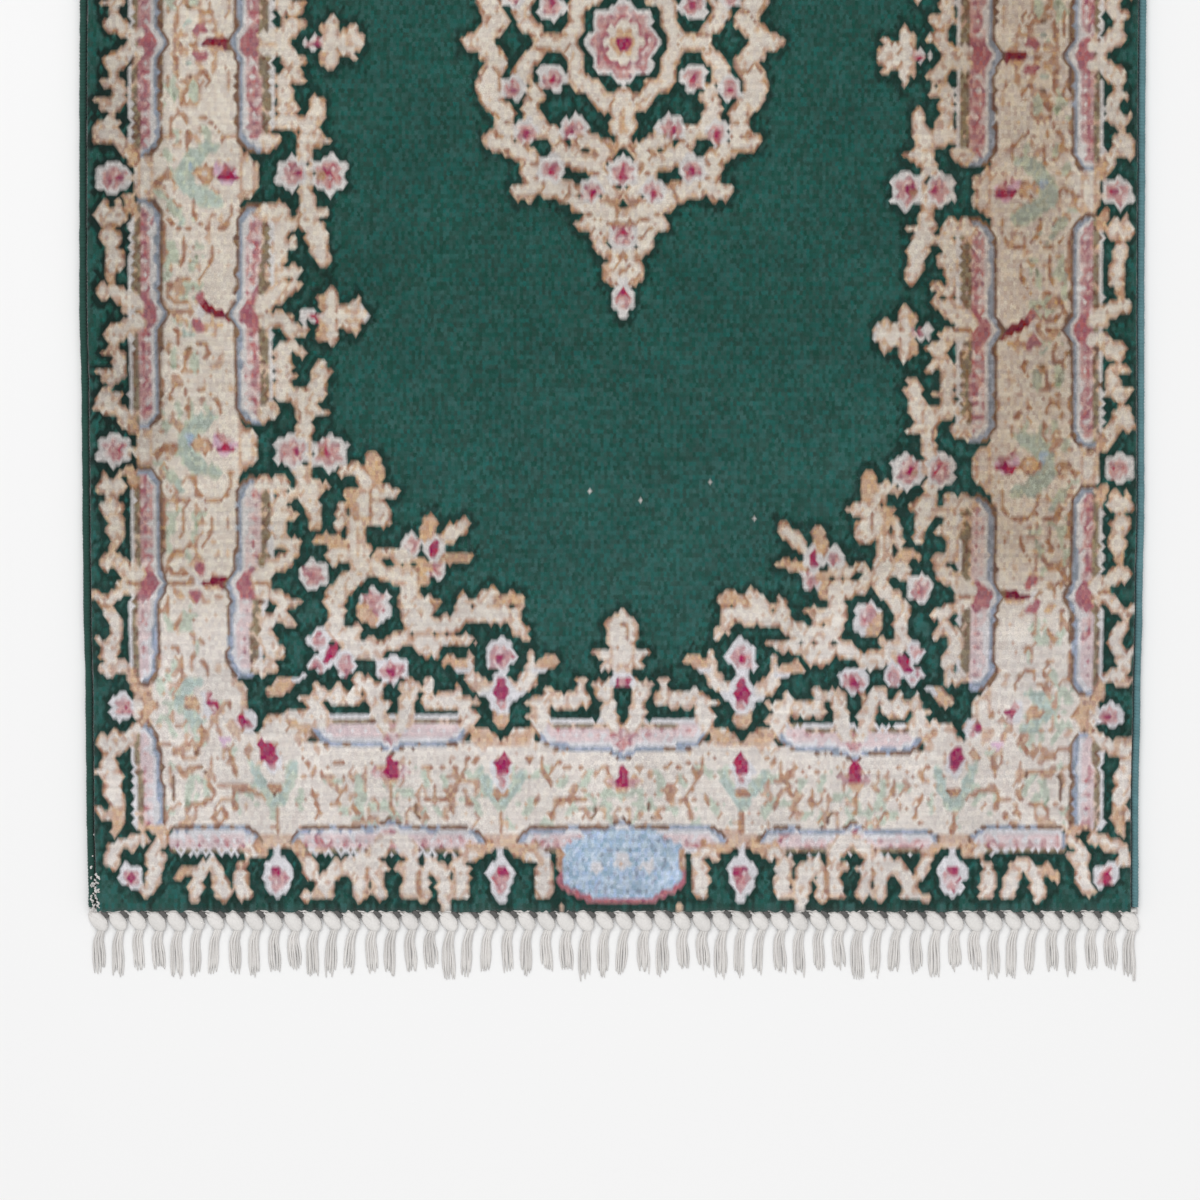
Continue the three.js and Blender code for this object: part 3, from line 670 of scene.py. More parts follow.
def medallion(ch):
    """The centre medallion and its pendant; only the pendant's end is known."""
    x = AXIS_X

    def pair(points, **k):
        ch.limb(points, **k)
        ch.limb([(2 * x - a, b, w) for a, b, w in points], **k)

    # pendant
    ch.limb([(x, 250, 5), (x, 262, 8), (x, 274, 4)], IVORY, TAN, 2.6)
    pair([(x - 3, 262, 6), (x - 9, 268, 8), (x - 12, 274, 5)], lobes=1, depth=0.1)
    pair([(x - 5, 276, 6), (x - 2, 282, 5)])
    ch.limb([(x, 282, 4), (x, 290, 3.4)], WHITE, None)
    ch.limb([(x, 292, 8.5), (x, 298, 10), (x, 308, 5), (x, 314, 2)], WHITE, DEEP, 1.2)
    ch.limb([(x, 294, 5), (x, 300, 6), (x, 307, 2)], PINK, None)
    ch.limb([(x, 291, 3), (x, 293, 3.2)], CRIMSON, None)
    # pendant's leaves up to the body
    pair([(x - 6, 252, 5), (x - 18, 244, 7), (x - 22, 230, 6)], lobes=2, depth=0.12)
    pair([(x - 10, 232, 5), (x - 26, 222, 6), (x - 40, 226, 4)], lobes=1, depth=0.1)
    ch.bud(x, 236, 13, -90, CRIMSON, 5, 0.3, 1.0)
    # body: a lobed wreath
    pair([(x - 4, 216, 7), (x - 24, 208, 8), (x - 44, 200, 8), (x - 58, 188, 7)], lobes=3, depth=0.12)
    pair([(x - 58, 190, 6), (x - 78, 184, 8), (x - 90, 170, 8), (x - 92, 156, 6)], lobes=3, depth=0.12)
    pair([(x - 84, 184, 5), (x - 98, 192, 6), (x - 108, 188, 3)])
    pair([(x - 92, 158, 6), (x - 108, 146, 8), (x - 118, 128, 8), (x - 116, 112, 6)], lobes=3, depth=0.12)
    pair([(x - 112, 142, 5), (x - 126, 144, 5), (x - 134, 138, 3)])
    pair([(x - 116, 114, 6), (x - 130, 98, 8), (x - 132, 78, 8), (x - 122, 62, 6)], lobes=3, depth=0.12)
    pair([(x - 122, 64, 6), (x - 134, 50, 7), (x - 150, 42, 6)], lobes=2, depth=0.1)
    # inner arms, flowers and the centre rosette
    pair([(x - 6, 196, 5), (x - 20, 182, 7), (x - 24, 164, 7), (x - 14, 150, 6)], lobes=2, depth=0.12)
    pair([(x - 24, 166, 5), (x - 44, 160, 7), (x - 62, 148, 6), (x - 66, 134, 4)], lobes=2, depth=0.12)
    pair([(x - 66, 136, 5), (x - 84, 126, 7), (x - 92, 108, 6), (x - 84, 94, 4)], lobes=2, depth=0.12)
    pair([(x - 84, 96, 5), (x - 98, 80, 6), (x - 96, 62, 6), (x - 84, 52, 4)], lobes=2, depth=0.12)
    for sx, y, r in ((30, 190, 12), (70, 168, 13), (96, 132, 12), (108, 88, 12), (48, 128, 13), (70, 78, 14)):
        for s in (-1, 1):
            ch.bud(x + s * sx, y, r, 90 if s < 0 else 90, CRIMSON, 5, 0.28, 1.0)
    pair([(x - 16, 150, 5), (x - 32, 142, 6), (x - 44, 142, 3)])
    ch.bud(x, 172, 15, 90, CRIMSON, 5, 0.3, 1.0)
    # ring round the rosette
    w = ch.window(x - 70, MID_Y - 8, x + 70, MID_Y + 90)
    sl, xs, ys = w
    th = np.arctan2((ys - MID_Y) / 1.18, xs - x)
    rho = np.hypot(xs - x, (ys - MID_Y) / 1.18)
    for r0, r1, ink in ((0, 60, TAN), (0, 57, IVORY), (0, 45, TAN), (0, 42, GREEN)):
        edge = r1 + 3.2 * np.cos(10 * th)
        ch.c[sl][rho < edge] = ink
    for r1, petals, ink, dep in ((34, 8, WHITE, 3.2), (30, 8, PINK, 3.0), (21, 8, ROSE, 2.2), (17, 8, IVORY, 2.0),
                                 (11, 6, SAND, 1.4), (6, 6, CRIMSON, 0.8)):
        ch.c[sl][rho < r1 + dep * np.cos(petals * th)] = ink
    pair([(x - 60, 42, 6), (x - 74, 42, 7), (x - 84, 42, 4)])
    ch.limb([(x, 106, 8), (x, 122, 9), (x, 136, 5), (x, 144, 2)], IVORY, TAN, 2.8, 2, 0.12)
    ch.line([(x, 110), (x, 134)], SAND, 1.8)


def build_chart():
    ch = Chart()
    c = ch.c
    ys, xs = np.mgrid[CY0:CY1, CX0:CX1] + 0.5
    rough = ch.rough * 2.0

    # ---- main border ground: ivory from guard to guard, all round the corner
    side = (xs > 158) & (xs < 240) & (ys < 828)
    end = (ys > 742) & (ys < 828) & (xs > 158)
    c[side | end] = IVORY
    # at each flower the ground crosses the gap between two guard sections
    for f in SIDE_FLOWERS + (703.0,):
        m = (xs > 134) & (xs < 164) & (np.abs(ys - f) + rough < 31 - (164 - xs) * 0.45)
        c[m] = IVORY
        m = (xs > 137) & (xs < 153) & (np.abs(ys - f) + rough < 27 - (153 - xs) * 0.9)
        c[m] = FAWN
        m = (xs > 232) & (xs < 258) & (np.abs(ys - f) + rough < 34 - (xs - 232) * 0.8)
        c[m] = IVORY
        m = (xs > 240) & (xs < 256) & (np.abs(ys - f) + rough < 26 - (xs - 240) * 0.9)
        c[m] = FAWN
    for f in (278.0, 501.0, 748.0):
        m = (ys > 818) & (ys < 848) & (np.abs(xs - f) + rough < 30 - (ys - 818) * 0.2)
        c[m] = IVORY
        m = (ys > 832) & (ys < 847) & (np.abs(xs - f) + rough < 20 + (ys - 832) * 0.3)
        c[m] = FAWN
        m = (ys > 726) & (ys < 750) & (np.abs(xs - f) + rough < 34 - (750 - ys) * 0.3) & (np.abs(xs - f) > (742 - ys) * 0.9)
        c[m] = IVORY
        m = (ys > 731) & (ys < 746) & (np.abs(xs - f) + rough < 28) & (np.abs(xs - f) > (740 - ys) * 1.1)
        c[m] = FAWN
    # inner corner: the ground turns into the field on the slant, cleft in the middle
    u, v = xs - 232, 752 - ys
    m = (u > 0) & (v > 0) & (u + v + rough < 52)
    c[m] = IVORY
    m = (u > 0) & (v > 0) & (u + v + rough < 46) & (u + v > 26) & (np.abs(u - v) < 22)
    c[m] = FAWN
    m = (xs > 250) & (xs < 300) & (ys + rough > 714) & (ys < 752)
    c[m] = IVORY
    m = (xs > 252) & (xs < 300) & (ys + rough > 718) & (ys < 728)
    c[m] = FAWN

    # a pale heart in every bridge between two guard sections
    for f in SIDE_FLOWERS + (703.0,):
        m = (xs > 139) & (xs < 149) & (np.abs(ys - f) + rough < 13)
        m |= (xs > 242) & (xs < 252) & (np.abs(ys - f) + rough < 15)
        c[m] = IVORY
    # the ground's small change: fawn and sage flecks, and fine tan tendrils between the leaves
    fleck = lattice_noise(CY1 - CY0, CX1 - CX0, 4.6, 31)
    cloud = lattice_noise(CY1 - CY0, CX1 - CX0, 17.0, 35)
    ground = (side | end) & (c == IVORY)
    open_part = side & (ys < 700) & (xs > 203) & (cloud > -0.5)
    open_part |= (xs > 310) & (ys < 766) & (ys > 740)
    c[ground & (cloud > 0.34) & (fleck > 0.0) & ~open_part] = SAGE
    c[ground & (fleck > 0.62)] = FAWN
    for step, seed, share in ((19.0, 39, -0.1), (15.0, 37, 0.25)):
        tendril = lattice_noise(CY1 - CY0, CX1 - CX0, step, seed)
        keep = lattice_noise(CY1 - CY0, CX1 - CX0, 23.0, seed + 4) > share
        gy, gx = np.gradient(tendril)
        away = np.abs(tendril) / (np.hypot(gx, gy) + 0.012)
        c[ground & (away < 1.4) & keep & ~open_part] = THREAD

    # ---- scrollwork and flowers of the main border
    draw_scroll(ch, SCROLL_SIDE, SIDE_RUNS, MADE_SIDE, True)
    draw_scroll(ch, SCROLL_END, END_RUNS, MADE_END, False)
    for ink, w, pts in CORNER:
        ch.line(pts, ink, w)
    side_waist(ch, 583, 0.0)
    side_waist(ch, 313, 7.0)
    side_waist(ch, 42, 0.0)
    end_waist(ch, 390.5, 756)
    end_waist(ch, 624, 765)
    for f in SIDE_FLOWERS:
        side_flower(ch, f)
    for k in (-1, 1):
        ch.limb([(276 + k * 19, 765, 3.4), (276 + k * 15, 779, 4.2), (276 + k * 8, 793, 4.6), (276 + k * 2, 803, 4)], AQUA, SAGE, 1.3, 2, 0.14)
    ch.limb([(273, 788, 4.6), (277, 789, 4.6)], TAN, BROWN, 0.9)
    ch.limb([(275, 756, 9), (275, 768, 6.6)], WHITE, None)
    ch.limb([(275, 762, 5), (275, 769, 3)], PINK, None)
    ch.limb([(272, 744, 4.4), (274, 750, 6.8), (274, 758, 6.6)], CRIMSON, None)
    end_flower(ch, 501, 784)
    # the corner's smaller side flower
    ch.limb([(206, 682, 4), (194, 686, 6), (187, 698, 6), (188, 710, 6), (198, 720, 5.4), (208, 722, 3)], AQUA, SAGE, 1.3, 2, 0.1)
    ch.limb([(194, 703, 4.4), (200, 705, 5.4)], SAND, TAN, 1.5)
    ch.limb([(212, 696, 4), (216, 712, 5)], WHITE, None)
    ch.limb([(216, 696, 3), (222, 712, 3)], PINK, None)
    ch.limb([(218, 704, 3.4), (223, 704, 3.4)], CRIMSON, None)
    ch.limb([(229, 742, 2.6), (236, 740, 3.4)], LILAC, None)
    ch.limb([(282, 724, 4), (292, 723, 5), (306, 723, 4.4)], IVORY, TAN, 1.6)
    ch.limb([(273, 698, 6.4), (272, 712, 5.0), (269, 726, 3.4), (266, 737, 2.0)], GREEN, None)
    ch.limb([(260, 717, 6.6), (259, 728, 6.4)], WHITE, TAN, 1.2)
    ch.limb([(252, 722, 6.0), (258, 725, 5.4)], PINK, None)
    ch.limb([(251, 720, 3.4), (253, 725, 3.4)], CRIMSON, None)
    ch.line([(236, 700), (241, 712)], TAN, 1.5)

    # ---- guard stripes
    outer_side = [(-60, 156), (198, 430), (468, 686), (724, 830)]
    inner_side = [(-60, 152), (204, 424), (478, 678)]
    along, cross = np.where((xs < 400) & (ys < 832), ys, -1e6), xs - 127.5
    draw_guard(ch, along, cross, outer_side, SIDE_WAISTS, GUARD_SIDE, blunt=(830,), pale=ss(ys, 470, 640) * 0.8)
    along, cross = np.where((xs < 400) & (ys < 700), ys, -1e6), 274.5 - xs
    draw_guard(ch, along, cross, inner_side, SIDE_WAISTS, GUARD_IN, pale=0.25 + 0.75 * ss(ys, 300, 680))
    outer_end = [(166, 262), (290, 486), (517, 731), (764, 960)]
    inner_end = [(312, 468), (536, 716), (785, 960)]
    bow = -7.0 * np.clip((xs - 500) / 124.0, 0, 1)
    along, cross = np.where(ys > 780, xs, -1e6), (855.0 - ys) * 1.12
    draw_guard(ch, along, cross, outer_end, END_WAISTS, (4.2, 8.6, 22.6, 26.8, 30.6, 33.4), blunt=(166,), pale=0.75, heart=(PINK, 10), teeth=0.8)
    along, cross = np.where((ys < 800) & (ys > 700), xs, -1e6), (ys - 714.5 + bow) * 1.05
    draw_guard(ch, along, cross, inner_end, END_WAISTS, (4.2, 8.6, 23.0, 27.4, 31.8, 34.4), reach=9.0, pale=1.0, heart=(PINK, 11), teeth=0.9)

    # ---- vines either side of the guards
    draw_repeat(ch, OUTER_SIDE, SIDE_RUNS, MADE_SIDE, True, beside_outer)
    draw_repeat(ch, INNER_SIDE, SIDE_RUNS, MADE_SIDE, True, beside_inner)
    draw_repeat(ch, OUTER_END, END_RUNS, MADE_END, False)
    draw_repeat(ch, INNER_END, END_RUNS, MADE_END, False)
    draw_forms(ch, CORNER_VINE, beside_outer)

    # ---- outer buds
    for y in SIDE_FLOWERS:
        ch.bud(112, y, 15.5, 0, CRIMSON, 6, 0.2, 1.05, push=0.42)
        ch.line([(126, y + 2), (136, y + 2)], IVORY, 1.8)
    ch.bud(121, 707, 13.2, 0, CRIMSON, 6, 0.24, 0.95, push=0.15)
    ch.line([(138, 706), (146, 706)], IVORY, 1.8)
    ch.limb([(141, 692, 3), (152, 706, 5.4), (142, 722, 3)], SAND, TAN, 1.3)
    ch.bud(126, 876, 13, 100, CRIMSON, 4, 0.36, 0.9, push=0.12)
    end_bud(ch, 278, 1.12)
    end_bud(ch, 501, 1.0, 5.0)
    end_bud(ch, 746, 0.95, 3.0)

    # ---- field: corner spray, side flowers, waist and end ornaments
    draw_forms(ch, SPRAY)
    ch.line([(371, 488), (370, 522)], TAN, 1.2)
    ch.line([(357, 524), (358, 560)], FAWN, 1.2)
    draw_forms(ch, BLOSSOM_UP)
    draw_forms(ch, BLOSSOM_DOWN)
    draw_forms(ch, BLOSSOM_UP, lambda x, y, w: (x, 626 - y, w))
    draw_forms(ch, BLOSSOM_DOWN, lambda x, y, w: (x, 626 - y, w))
    # rosette inside the ring
    ch.lobed(375, 607, 15.5, 17, WHITE, DEEP, 1.0, 6, 0.12, 20)
    ch.lobed(374, 605, 11.5, 13, PINK, None, 0, 6, 0.1, 20)
    ch.limb([(362, 606, 4.4), (364, 616, 6.4), (374, 621, 4.4)], SAND, TAN, 1.1)
    # palmette: heart, pale lobes and centre
    ch.bud(413, 544, 9.5, 60, PINK, 4, 0.2, 1.0)
    ch.bud(436, 569, 10, 100, ROSE, 4, 0.2, 1.0)
    ch.limb([(420, 562, 5), (428, 566, 4)], SAND, None)
    ch.lobed(434, 549, 10, 14, WHITE, None, 0, 4, 0.1, 0, 8)
    ch.lobed(434, 548, 6, 10, CRIMSON, None, 0, 3, 0.1, 0, 8)
    # bud cluster under the ring
    ch.bud(320, 640, 9.5, 200, PINK, 4, 0.25, 1.0)
    ch.bud(321, 665, 9, 150, PINK, 4, 0.25, 1.0)
    ch.bud(345, 663, 11.5, 80, PINK, 4, 0.25, 1.1)
    ch.lobed(330, 655, 8.5, 13, WHITE, None, 0, 4, 0.1, 0, 32)
    ch.lobed(331, 653, 5.8, 12.5, CRIMSON, None, 0, 3, 0.06, 0, 32)
    ch.bud(315, 575, 14, 180, ROSE, 5, 0.2, 1.0, push=0.1)
    ch.bud(391, 669, 15.5, 90, CRIMSON, 6, 0.3, 0.82, push=0.1)
    ch.limb([(282, 692, 4.4), (290, 686, 5.4), (295, 682, 3)], SAND, TAN, 1.6)
    ch.line([(298, 682), (309, 675)], WHITE, 1.8)
    # the paired blossoms
    for y in (452, 174):
        ch.limb([(306, y - 22, 4.4), (307, y, 3.4), (306, y + 18, 4.6)], IVORY, FAWN, 1.6)
        ch.bud(291, y, 16.5, 0, CRIMSON, 6, 0.2, 0.95, push=0.36)
        ch.bud(330, y + 1, 17.5, 180, CRIMSON, 6, 0.26, 1.0, push=0.3)
        ch.limb([(318, y + 2, 2), (322, y + 2, 3)], TAN, None)
    for y in (317, 42):
        star_ornament(ch, 312, y, (1, 0))
    end_ornament(ch, 501)
    end_ornament(ch, 747)
    spire_ornament(ch, 624, 684)
    medallion(ch)

    # ---- panel at the foot: plain sky blue with a small leafy sprig
    sl, px, py = ch.window(540, 812, 640, 914)
    c[sl][(px > 553) & (py > 853) & (py < 905)] = GREEN
    u, v = (px - 623) / 59.5, (py - 864) / 34.5
    th = np.arctan2(v, u)
    rho = np.maximum(np.maximum(np.abs(u), np.abs(v)), (np.abs(u) + np.abs(v)) / 1.52)
    d = (rho - 1) * 34 + ch.rough[sl] * 1.2
    c[sl][(d < 3.6) & (py > 872)] = ROSE
    c[sl][(d < 3.2) & (py > 848) & (py <= 872)] = TAN
    c[sl][d < 0] = SKY
    for x, y, r in ((597, 866, 6.4), (623, 862, 8.0), (650, 866, 6.4)):
        ch.lobed(x, y, r, r, WHITE, None, 0, 5, 0.3, 90)
        ch.lobed(x, y, r * 0.34, r * 0.34, SAND, None, 0, 5, 0.0)
    return c


def side_map(x, y):
    """Where a point of the rug looks in the chart: (x, y) in rug units to chart units."""
    x, y = np.asarray(x, float), np.asarray(y, float)
    right = x > AXIS_X + 1.5
    # right half: folded over, with the weaver's drift
    fold = np.interp(x, [625, 741, 813, 857, 869, 906, 955, 1012, 1120, 1146],
                     [621, 502, 434, 388, 374, 330, 275, 220, 112, 78])
    s = np.interp(y, [-900, -700, -200, 42, 330, 470, 600, 700, 770, 900], [0, -6, 8, 14, 17, 19, 13, 11, 0, 0])
    s = s + 5.0 * ss(y, 690, 740) * (1 - ss(y, 800, 860)) * (1 - ss(x, 930, 985))
    r0 = np.interp(y, [470, 560], [790, 700])
    t = np.clip((x - r0) / np.interp(y, [470, 560], [90, 165]), 0, 1)
    s = s * t * t * (3 - 2 * t)
    # left half: the border narrows towards the lower end
    k = np.clip((ss(y, 540, 640)), 0, 1)
    inner = -10.0 * k
    outer = np.interp(y, [270, 900], [0, 7])
    w = np.clip((x - 90) / 145.0, 0, 1)
    back = 1 - ss(x, 262, 330)
    dx = (outer * (1 - w) + inner * w) * np.where(w >= 1, back, 1.0)
    dx = np.where(y > 730, dx * (1 - ss(y, 730, 790)) + outer * (1 - ss(x, 90, 260)) * ss(y, 730, 790), dx)
    cx = np.where(right, fold, x - dx)
    cy = np.where(right, y - s, y)
    cy = MID_Y + np.abs(cy - MID_Y)
    return cx, cy


def ss(v, a, b):
    t = np.clip((v - a) / (b - a), 0, 1)
    return t * t * (3 - 2 * t)


def wobble(x, y, seed):
    """Slow unevenness of the weave, a couple of units at most."""
    rng = np.random.RandomState(seed)
    out = np.zeros(np.broadcast(x, y).shape)
    for _ in range(7):
        kx, ky, ph = rng.uniform(-0.03, 0.03), rng.uniform(-0.03, 0.03), rng.uniform(0, 6.28)
        out += np.sin(kx * x + ky * y + ph)
    return out / 7.0


def sample(chart, x, y, span=(3.2, 3.7)):
    """Each knot's colour: the one that most of its patch of the chart holds."""
    votes = np.zeros(x.shape + (len(DYES),), np.float32)
    weight = np.ones(len(DYES), np.float32)
    for ink in (TAN, BROWN, BLUE, CRIMSON, GARNET, WHITE):
        weight[ink] = 1.25
    for i in (-1, 0, 1):
        for j in (-1, 0, 1):
            cx, cy = side_map(x + i * span[0] / 3, y + j * span[1] / 3)
            ix = np.clip((cx - CX0).astype(int), 0, chart.shape[1] - 1)
            iy = np.clip((cy - CY0).astype(int), 0, chart.shape[0] - 1)
            ink = chart[iy, ix]
            np.put_along_axis(votes, ink[..., None], np.take_along_axis(votes, ink[..., None], -1) + weight[ink][..., None], -1)
    return votes.argmax(-1).astype(np.uint8)


def finish_edges(ink, rng):
    """The weaver shades the forms with fawn along their rims; the darker green round them is painted shade."""
    green = np.isin(ink, (GREEN, DEEP))
    pad = np.pad(green, 3, mode="edge")
    h, w = ink.shape

    def shifted(m, a, b):
        return m[3 + a:3 + a + h, 3 + b:3 + b + w]

    by_green = shifted(pad, -1, 0) | shifted(pad, 1, 0) | shifted(pad, 0, -1) | shifted(pad, 0, 1)
    close, near, wide = (np.zeros(ink.shape, bool) for _ in range(3))
    for a in range(-3, 4):
        for b in range(-3, 4):
            form = ~shifted(pad, a, b)
            if max(abs(a), abs(b)) <= 1:
                close |= form
            if a * a + b * b <= 5:
                near |= form
            wide |= form
    near_green = np.zeros(ink.shape, bool)
    for a in (-2, 0, 2):
        for b in (-2, 0, 2):
            near_green |= shifted(pad, a, b)
    out = ink.copy()
    chance = rng.uniform(0, 1, ink.shape)
    out[(ink == IVORY) & near_green & (chance < 0.16)] = FAWN
    out[(ink == IVORY) & by_green & (chance < 0.56)] = FAWN
    out[(ink == IVORY) & by_green & (chance > 0.93)] = TAN
    out[(ink == FAWN) & by_green & (chance > 0.62)] = TAN
    out[(ink == TAN) & by_green & (chance < 0.5)] = FAWN
    # painted shade: the green ground round the forms is darkened to DEEP, the more the nearer it lies
    out[green & wide & (chance < 0.08)] = DEEP
    out[green & near & (chance < 0.5)] = DEEP
    out[green & close & (chance < 0.9)] = DEEP
    out[(ink == PINK) & (chance < 0.18)] = BLUSH
    out[(ink == PINK) & (chance > 0.84)] = ROSE
    out[(ink == AQUA) & (chance < 0.25)] = SAGE
    out[(ink == OLIVE) & (chance < 0.2)] = BROWN
    out[(ink == OLIVE) & (chance > 0.82)] = FAWN
    out[(ink == SKY) & (chance < 0.3)] = MIST
    out[(ink == SKY) & (chance > 0.86)] = BLUE
    return out


# ------------------------------------------------------------------ the rug's outline
# Millimetres, as the construction has it.
HALF = 497.0
CORD = 4.6
GAP = 0.3
SIDES = np.array([
    (-497.0, -301.9, 302.5), (-436.2, -303.1, 302.5), (-378.8, -303.6, 303.6), (-321.4, -304.8, 304.8),
    (-264.0, -305.4, 305.9), (-206.6, -305.9, 305.9), (-149.2, -307.2, 305.9), (-60.0, -307.2, 306.4),
    (60.0, -306.8, 307.2), (180.0, -306.3, 307.2), (300.0, -305.2, 306.4), (410.0, -304.4, 305.3),
    (497.0, -304.0, 304.6)])


def side_at(y, side):
    """A long edge's x at y, eased between the measured rows; side is 1 (left) or 2 (right)."""
    y = np.asarray(y, float)
    i = np.clip(np.searchsorted(SIDES[:, 0], y, side="right") - 1, 0, len(SIDES) - 2)
    t = np.clip((y - SIDES[i, 0]) / (SIDES[i + 1, 0] - SIDES[i, 0]), 0, 1)
    return SIDES[i, side] + (SIDES[i + 1, side] - SIDES[i, side]) * t * t * (3 - 2 * t)


def to_chart(x, y):
    """Millimetres on the rug to chart units."""
    return 613.0 + x / 0.574, 42.0 - y / 0.574


def linear(rgb):
    c = np.asarray(rgb, float) / 255.0
    return np.where(c <= 0.04045, c / 12.92, ((c + 0.055) / 1.055) ** 2.4)


def waves(x, y):
    """The pile's slow unevenness, in millimetres, at most about 0.35 either way."""
    rng = np.random.RandomState(41)
    z = np.zeros(np.broadcast(x, y).shape)
    for _ in range(9):
        kx, ky, ph = rng.uniform(-0.05, 0.05), rng.uniform(-0.05, 0.05), rng.uniform(0, 6.28)
        z += np.sin(kx * x + ky * y + ph)
    return 0.35 * z / 3.0 * 0.8


# ------------------------------------------------------------------ knots
COLUMNS, ROWS = 330, 376


def knot_places(columns, rows):
    jj, ii = np.mgrid[0:rows, 0:columns]
    y = -HALF + (jj + 0.5) * 2 * HALF / rows
    left, right = side_at(y, 1) + CORD + GAP, side_at(y, 2) - CORD - GAP
    return left + (ii + 0.5) / columns * (right - left), y


def tie_knots(chart, columns, rows, mottle=True):
    """Each knot's chart colour, row by row from the lower end."""
    x, y = knot_places(columns, rows)
    px, py = to_chart(x, y)
    px = px + 1.5 * wobble(px, py, 3)
    py = py + 1.5 * wobble(px, py, 5)
    ink = sample(chart, px, py, (3.2 * COLUMNS / columns, 1732.0 / rows))
    return finish_edges(ink, np.random.RandomState(23)) if mottle else ink


def dye_table(px, py, ink):
    """The wool's colour at every knot: its dye lot, and how the colour drifts over the rug, painted shade among it."""
    table = np.zeros((len(DYES), 3))
    for k, v in DYES.items():
        table[k] = linear(v)
    c = table[ink]
    greens = np.isin(ink, (GREEN, DEEP))[..., None]
    # the green ground is lighter towards the lower end
    low = ss(py, 250, 640)[..., None]
    c = np.where(greens, c * (1 + low * np.array([0.50, 0.20, 0.27])), c)
    # the forms are painted warmer and darker towards the upper end, as shade
    tip = ss(py, 550, 670)[..., None]
    c = np.where(greens, c, c * (np.array([0.88, 0.89, 0.88]) * (1 - tip) + np.array([1.0, 1.045, 1.12]) * tip))
    # the upper left is painted darker as shade, its darkest green most of all, and the right border has browned down to
    # its lower waist
    left = (1 - ss(px, 160, 176)) * (1 - ss(py, 440, 620))
    c = np.where(greens, c, c * (1 - 0.19 * left[..., None]))
    c = np.where((ink == DEEP)[..., None], c * (1 - 0.5 * left[..., None]), c)
    right = ss(px, 900, 980) * (1 - 0.8 * ss(px, 1060, 1084)) * (1 - ss(py, 550, 610))
    c = np.where(greens, c, c * (1 - right[..., None] * np.array([0.24, 0.31, 0.37])))
    # below that waist it is a little duller still, most of all in its inner guard
    right = ss(px, 930, 962) * ss(py, 560, 610) * (1 - ss(py, 800, 850))
    right = right * (0.045 + 0.085 * (1 - ss(px, 998, 1010)) * (1 - ss(py, 676, 700)))
    c = np.where(greens, c, c * (1 - right[..., None] * np.array([0.95, 1.1, 1.2])))
    return c


# ------------------------------------------------------------------ meshes
def merge(cls, largest=16):
    """Cells between the knots, joined into oblongs wherever all their knots agree. Gives
    the faces as lists of grid indices (row * width + column), sharing every corner."""
    h, w = cls.shape
    free = (cls[:-1, :-1] == cls[1:, :-1]) & (cls[:-1, :-1] == cls[:-1, 1:]) & (cls[:-1, :-1] == cls[1:, 1:])
    free[0, :] = free[-1, :] = free[:, 0] = free[:, -1] = False
    used = np.zeros((h, w), bool)
    blocks = []
    for size in (8, 6, 4, 3, 2):
        t = np.pad(np.cumsum(np.cumsum(free.astype(int), 0), 1), ((1, 0), (1, 0)))
        n = t[size:, size:] - t[:-size, size:] - t[size:, :-size] + t[:-size, :-size]
        for r, c in np.argwhere(n == size * size).tolist():
            if not free[r:r + size, c:c + size].all():
                continue
            a, b = size, size
            while b < largest and free[r:r + a, c + b].all():
                b += 1
            while a < largest and free[r + a, c:c + b].all():
                a += 1
            free[r:r + a, c:c + b] = False
            blocks.append((r, c, a, b))
            used[r, c] = used[r + a, c] = used[r, c + b] = used[r + a, c + b] = True
    free = np.ones((h - 1, w - 1), bool)
    for r, c, a, b in blocks:
        free[r:r + a, c:c + b] = False
    r, c = np.nonzero(free)
    for a, b in ((0, 0), (0, 1), (1, 0), (1, 1)):
        used[r + a, c + b] = True
    # each cell is cut along the diagonal whose ends look most alike
    look = np.array([[v ** 0.6 for v in linear(DYES[k])] for k in range(len(DYES))])[cls]
    one = np.abs(look[r, c] - look[r + 1, c + 1]).sum(-1)
    two = np.abs(look[r + 1, c] - look[r, c + 1]).sum(-1)
    ll, lr, ur, ul = r * w + c, r * w + c + 1, (r + 1) * w + c + 1, (r + 1) * w + c
    flip = two < one
    faces = np.stack([ll, lr, np.where(flip, ul, ur)], 1).tolist()
    faces += np.stack([np.where(flip, lr, ll), ur, ul], 1).tolist()
    for r, c, m, n in blocks:
        side = [r * w + k for k in range(c, c + n) if used[r, k]]
        side += [k * w + c + n for k in range(r, r + m) if used[k, c + n]]
        side += [(r + m) * w + k for k in range(c + n, c, -1) if used[r + m, k]]
        side += [k * w + c for k in range(r + m, r, -1) if used[k, c]]
        faces.append(side)
    return faces, used


def ring_of(h, w):
    """The grid's border, anticlockwise from the lower left corner, as (row, column)."""
    out = [(0, c) for c in range(w - 1)]
    out += [(r, w - 1) for r in range(h - 1)]
    out += [(h - 1, c) for c in range(w - 1, 0, -1)]
    out += [(r, 0) for r in range(h - 1, 0, -1)]
    return np.array(out)


def make_mesh(name, verts, faces, smooth=True):
    me = bpy.data.meshes.new(name)
    me.from_pydata(np.asarray(verts, float).tolist(), [], faces)
    me.validate(clean_customdata=False)
    me.update()
    me.polygons.foreach_set("use_smooth", np.full(len(me.polygons), smooth))
    ob = bpy.data.objects.new(name, me)
    bpy.context.scene.collection.objects.link(ob)
    return ob


def loop_data(me):
    corner = np.empty(len(me.loops), np.int32)
    me.loops.foreach_get("vertex_index", corner)
    return corner


def paint(me, colour, name="dye"):
    layer = me.color_attributes.new(name, "FLOAT_COLOR", "CORNER")
    rgba = np.ones((len(colour), 4), np.float32)
    rgba[:, :3] = colour
    layer.data.foreach_set("color", rgba.ravel())


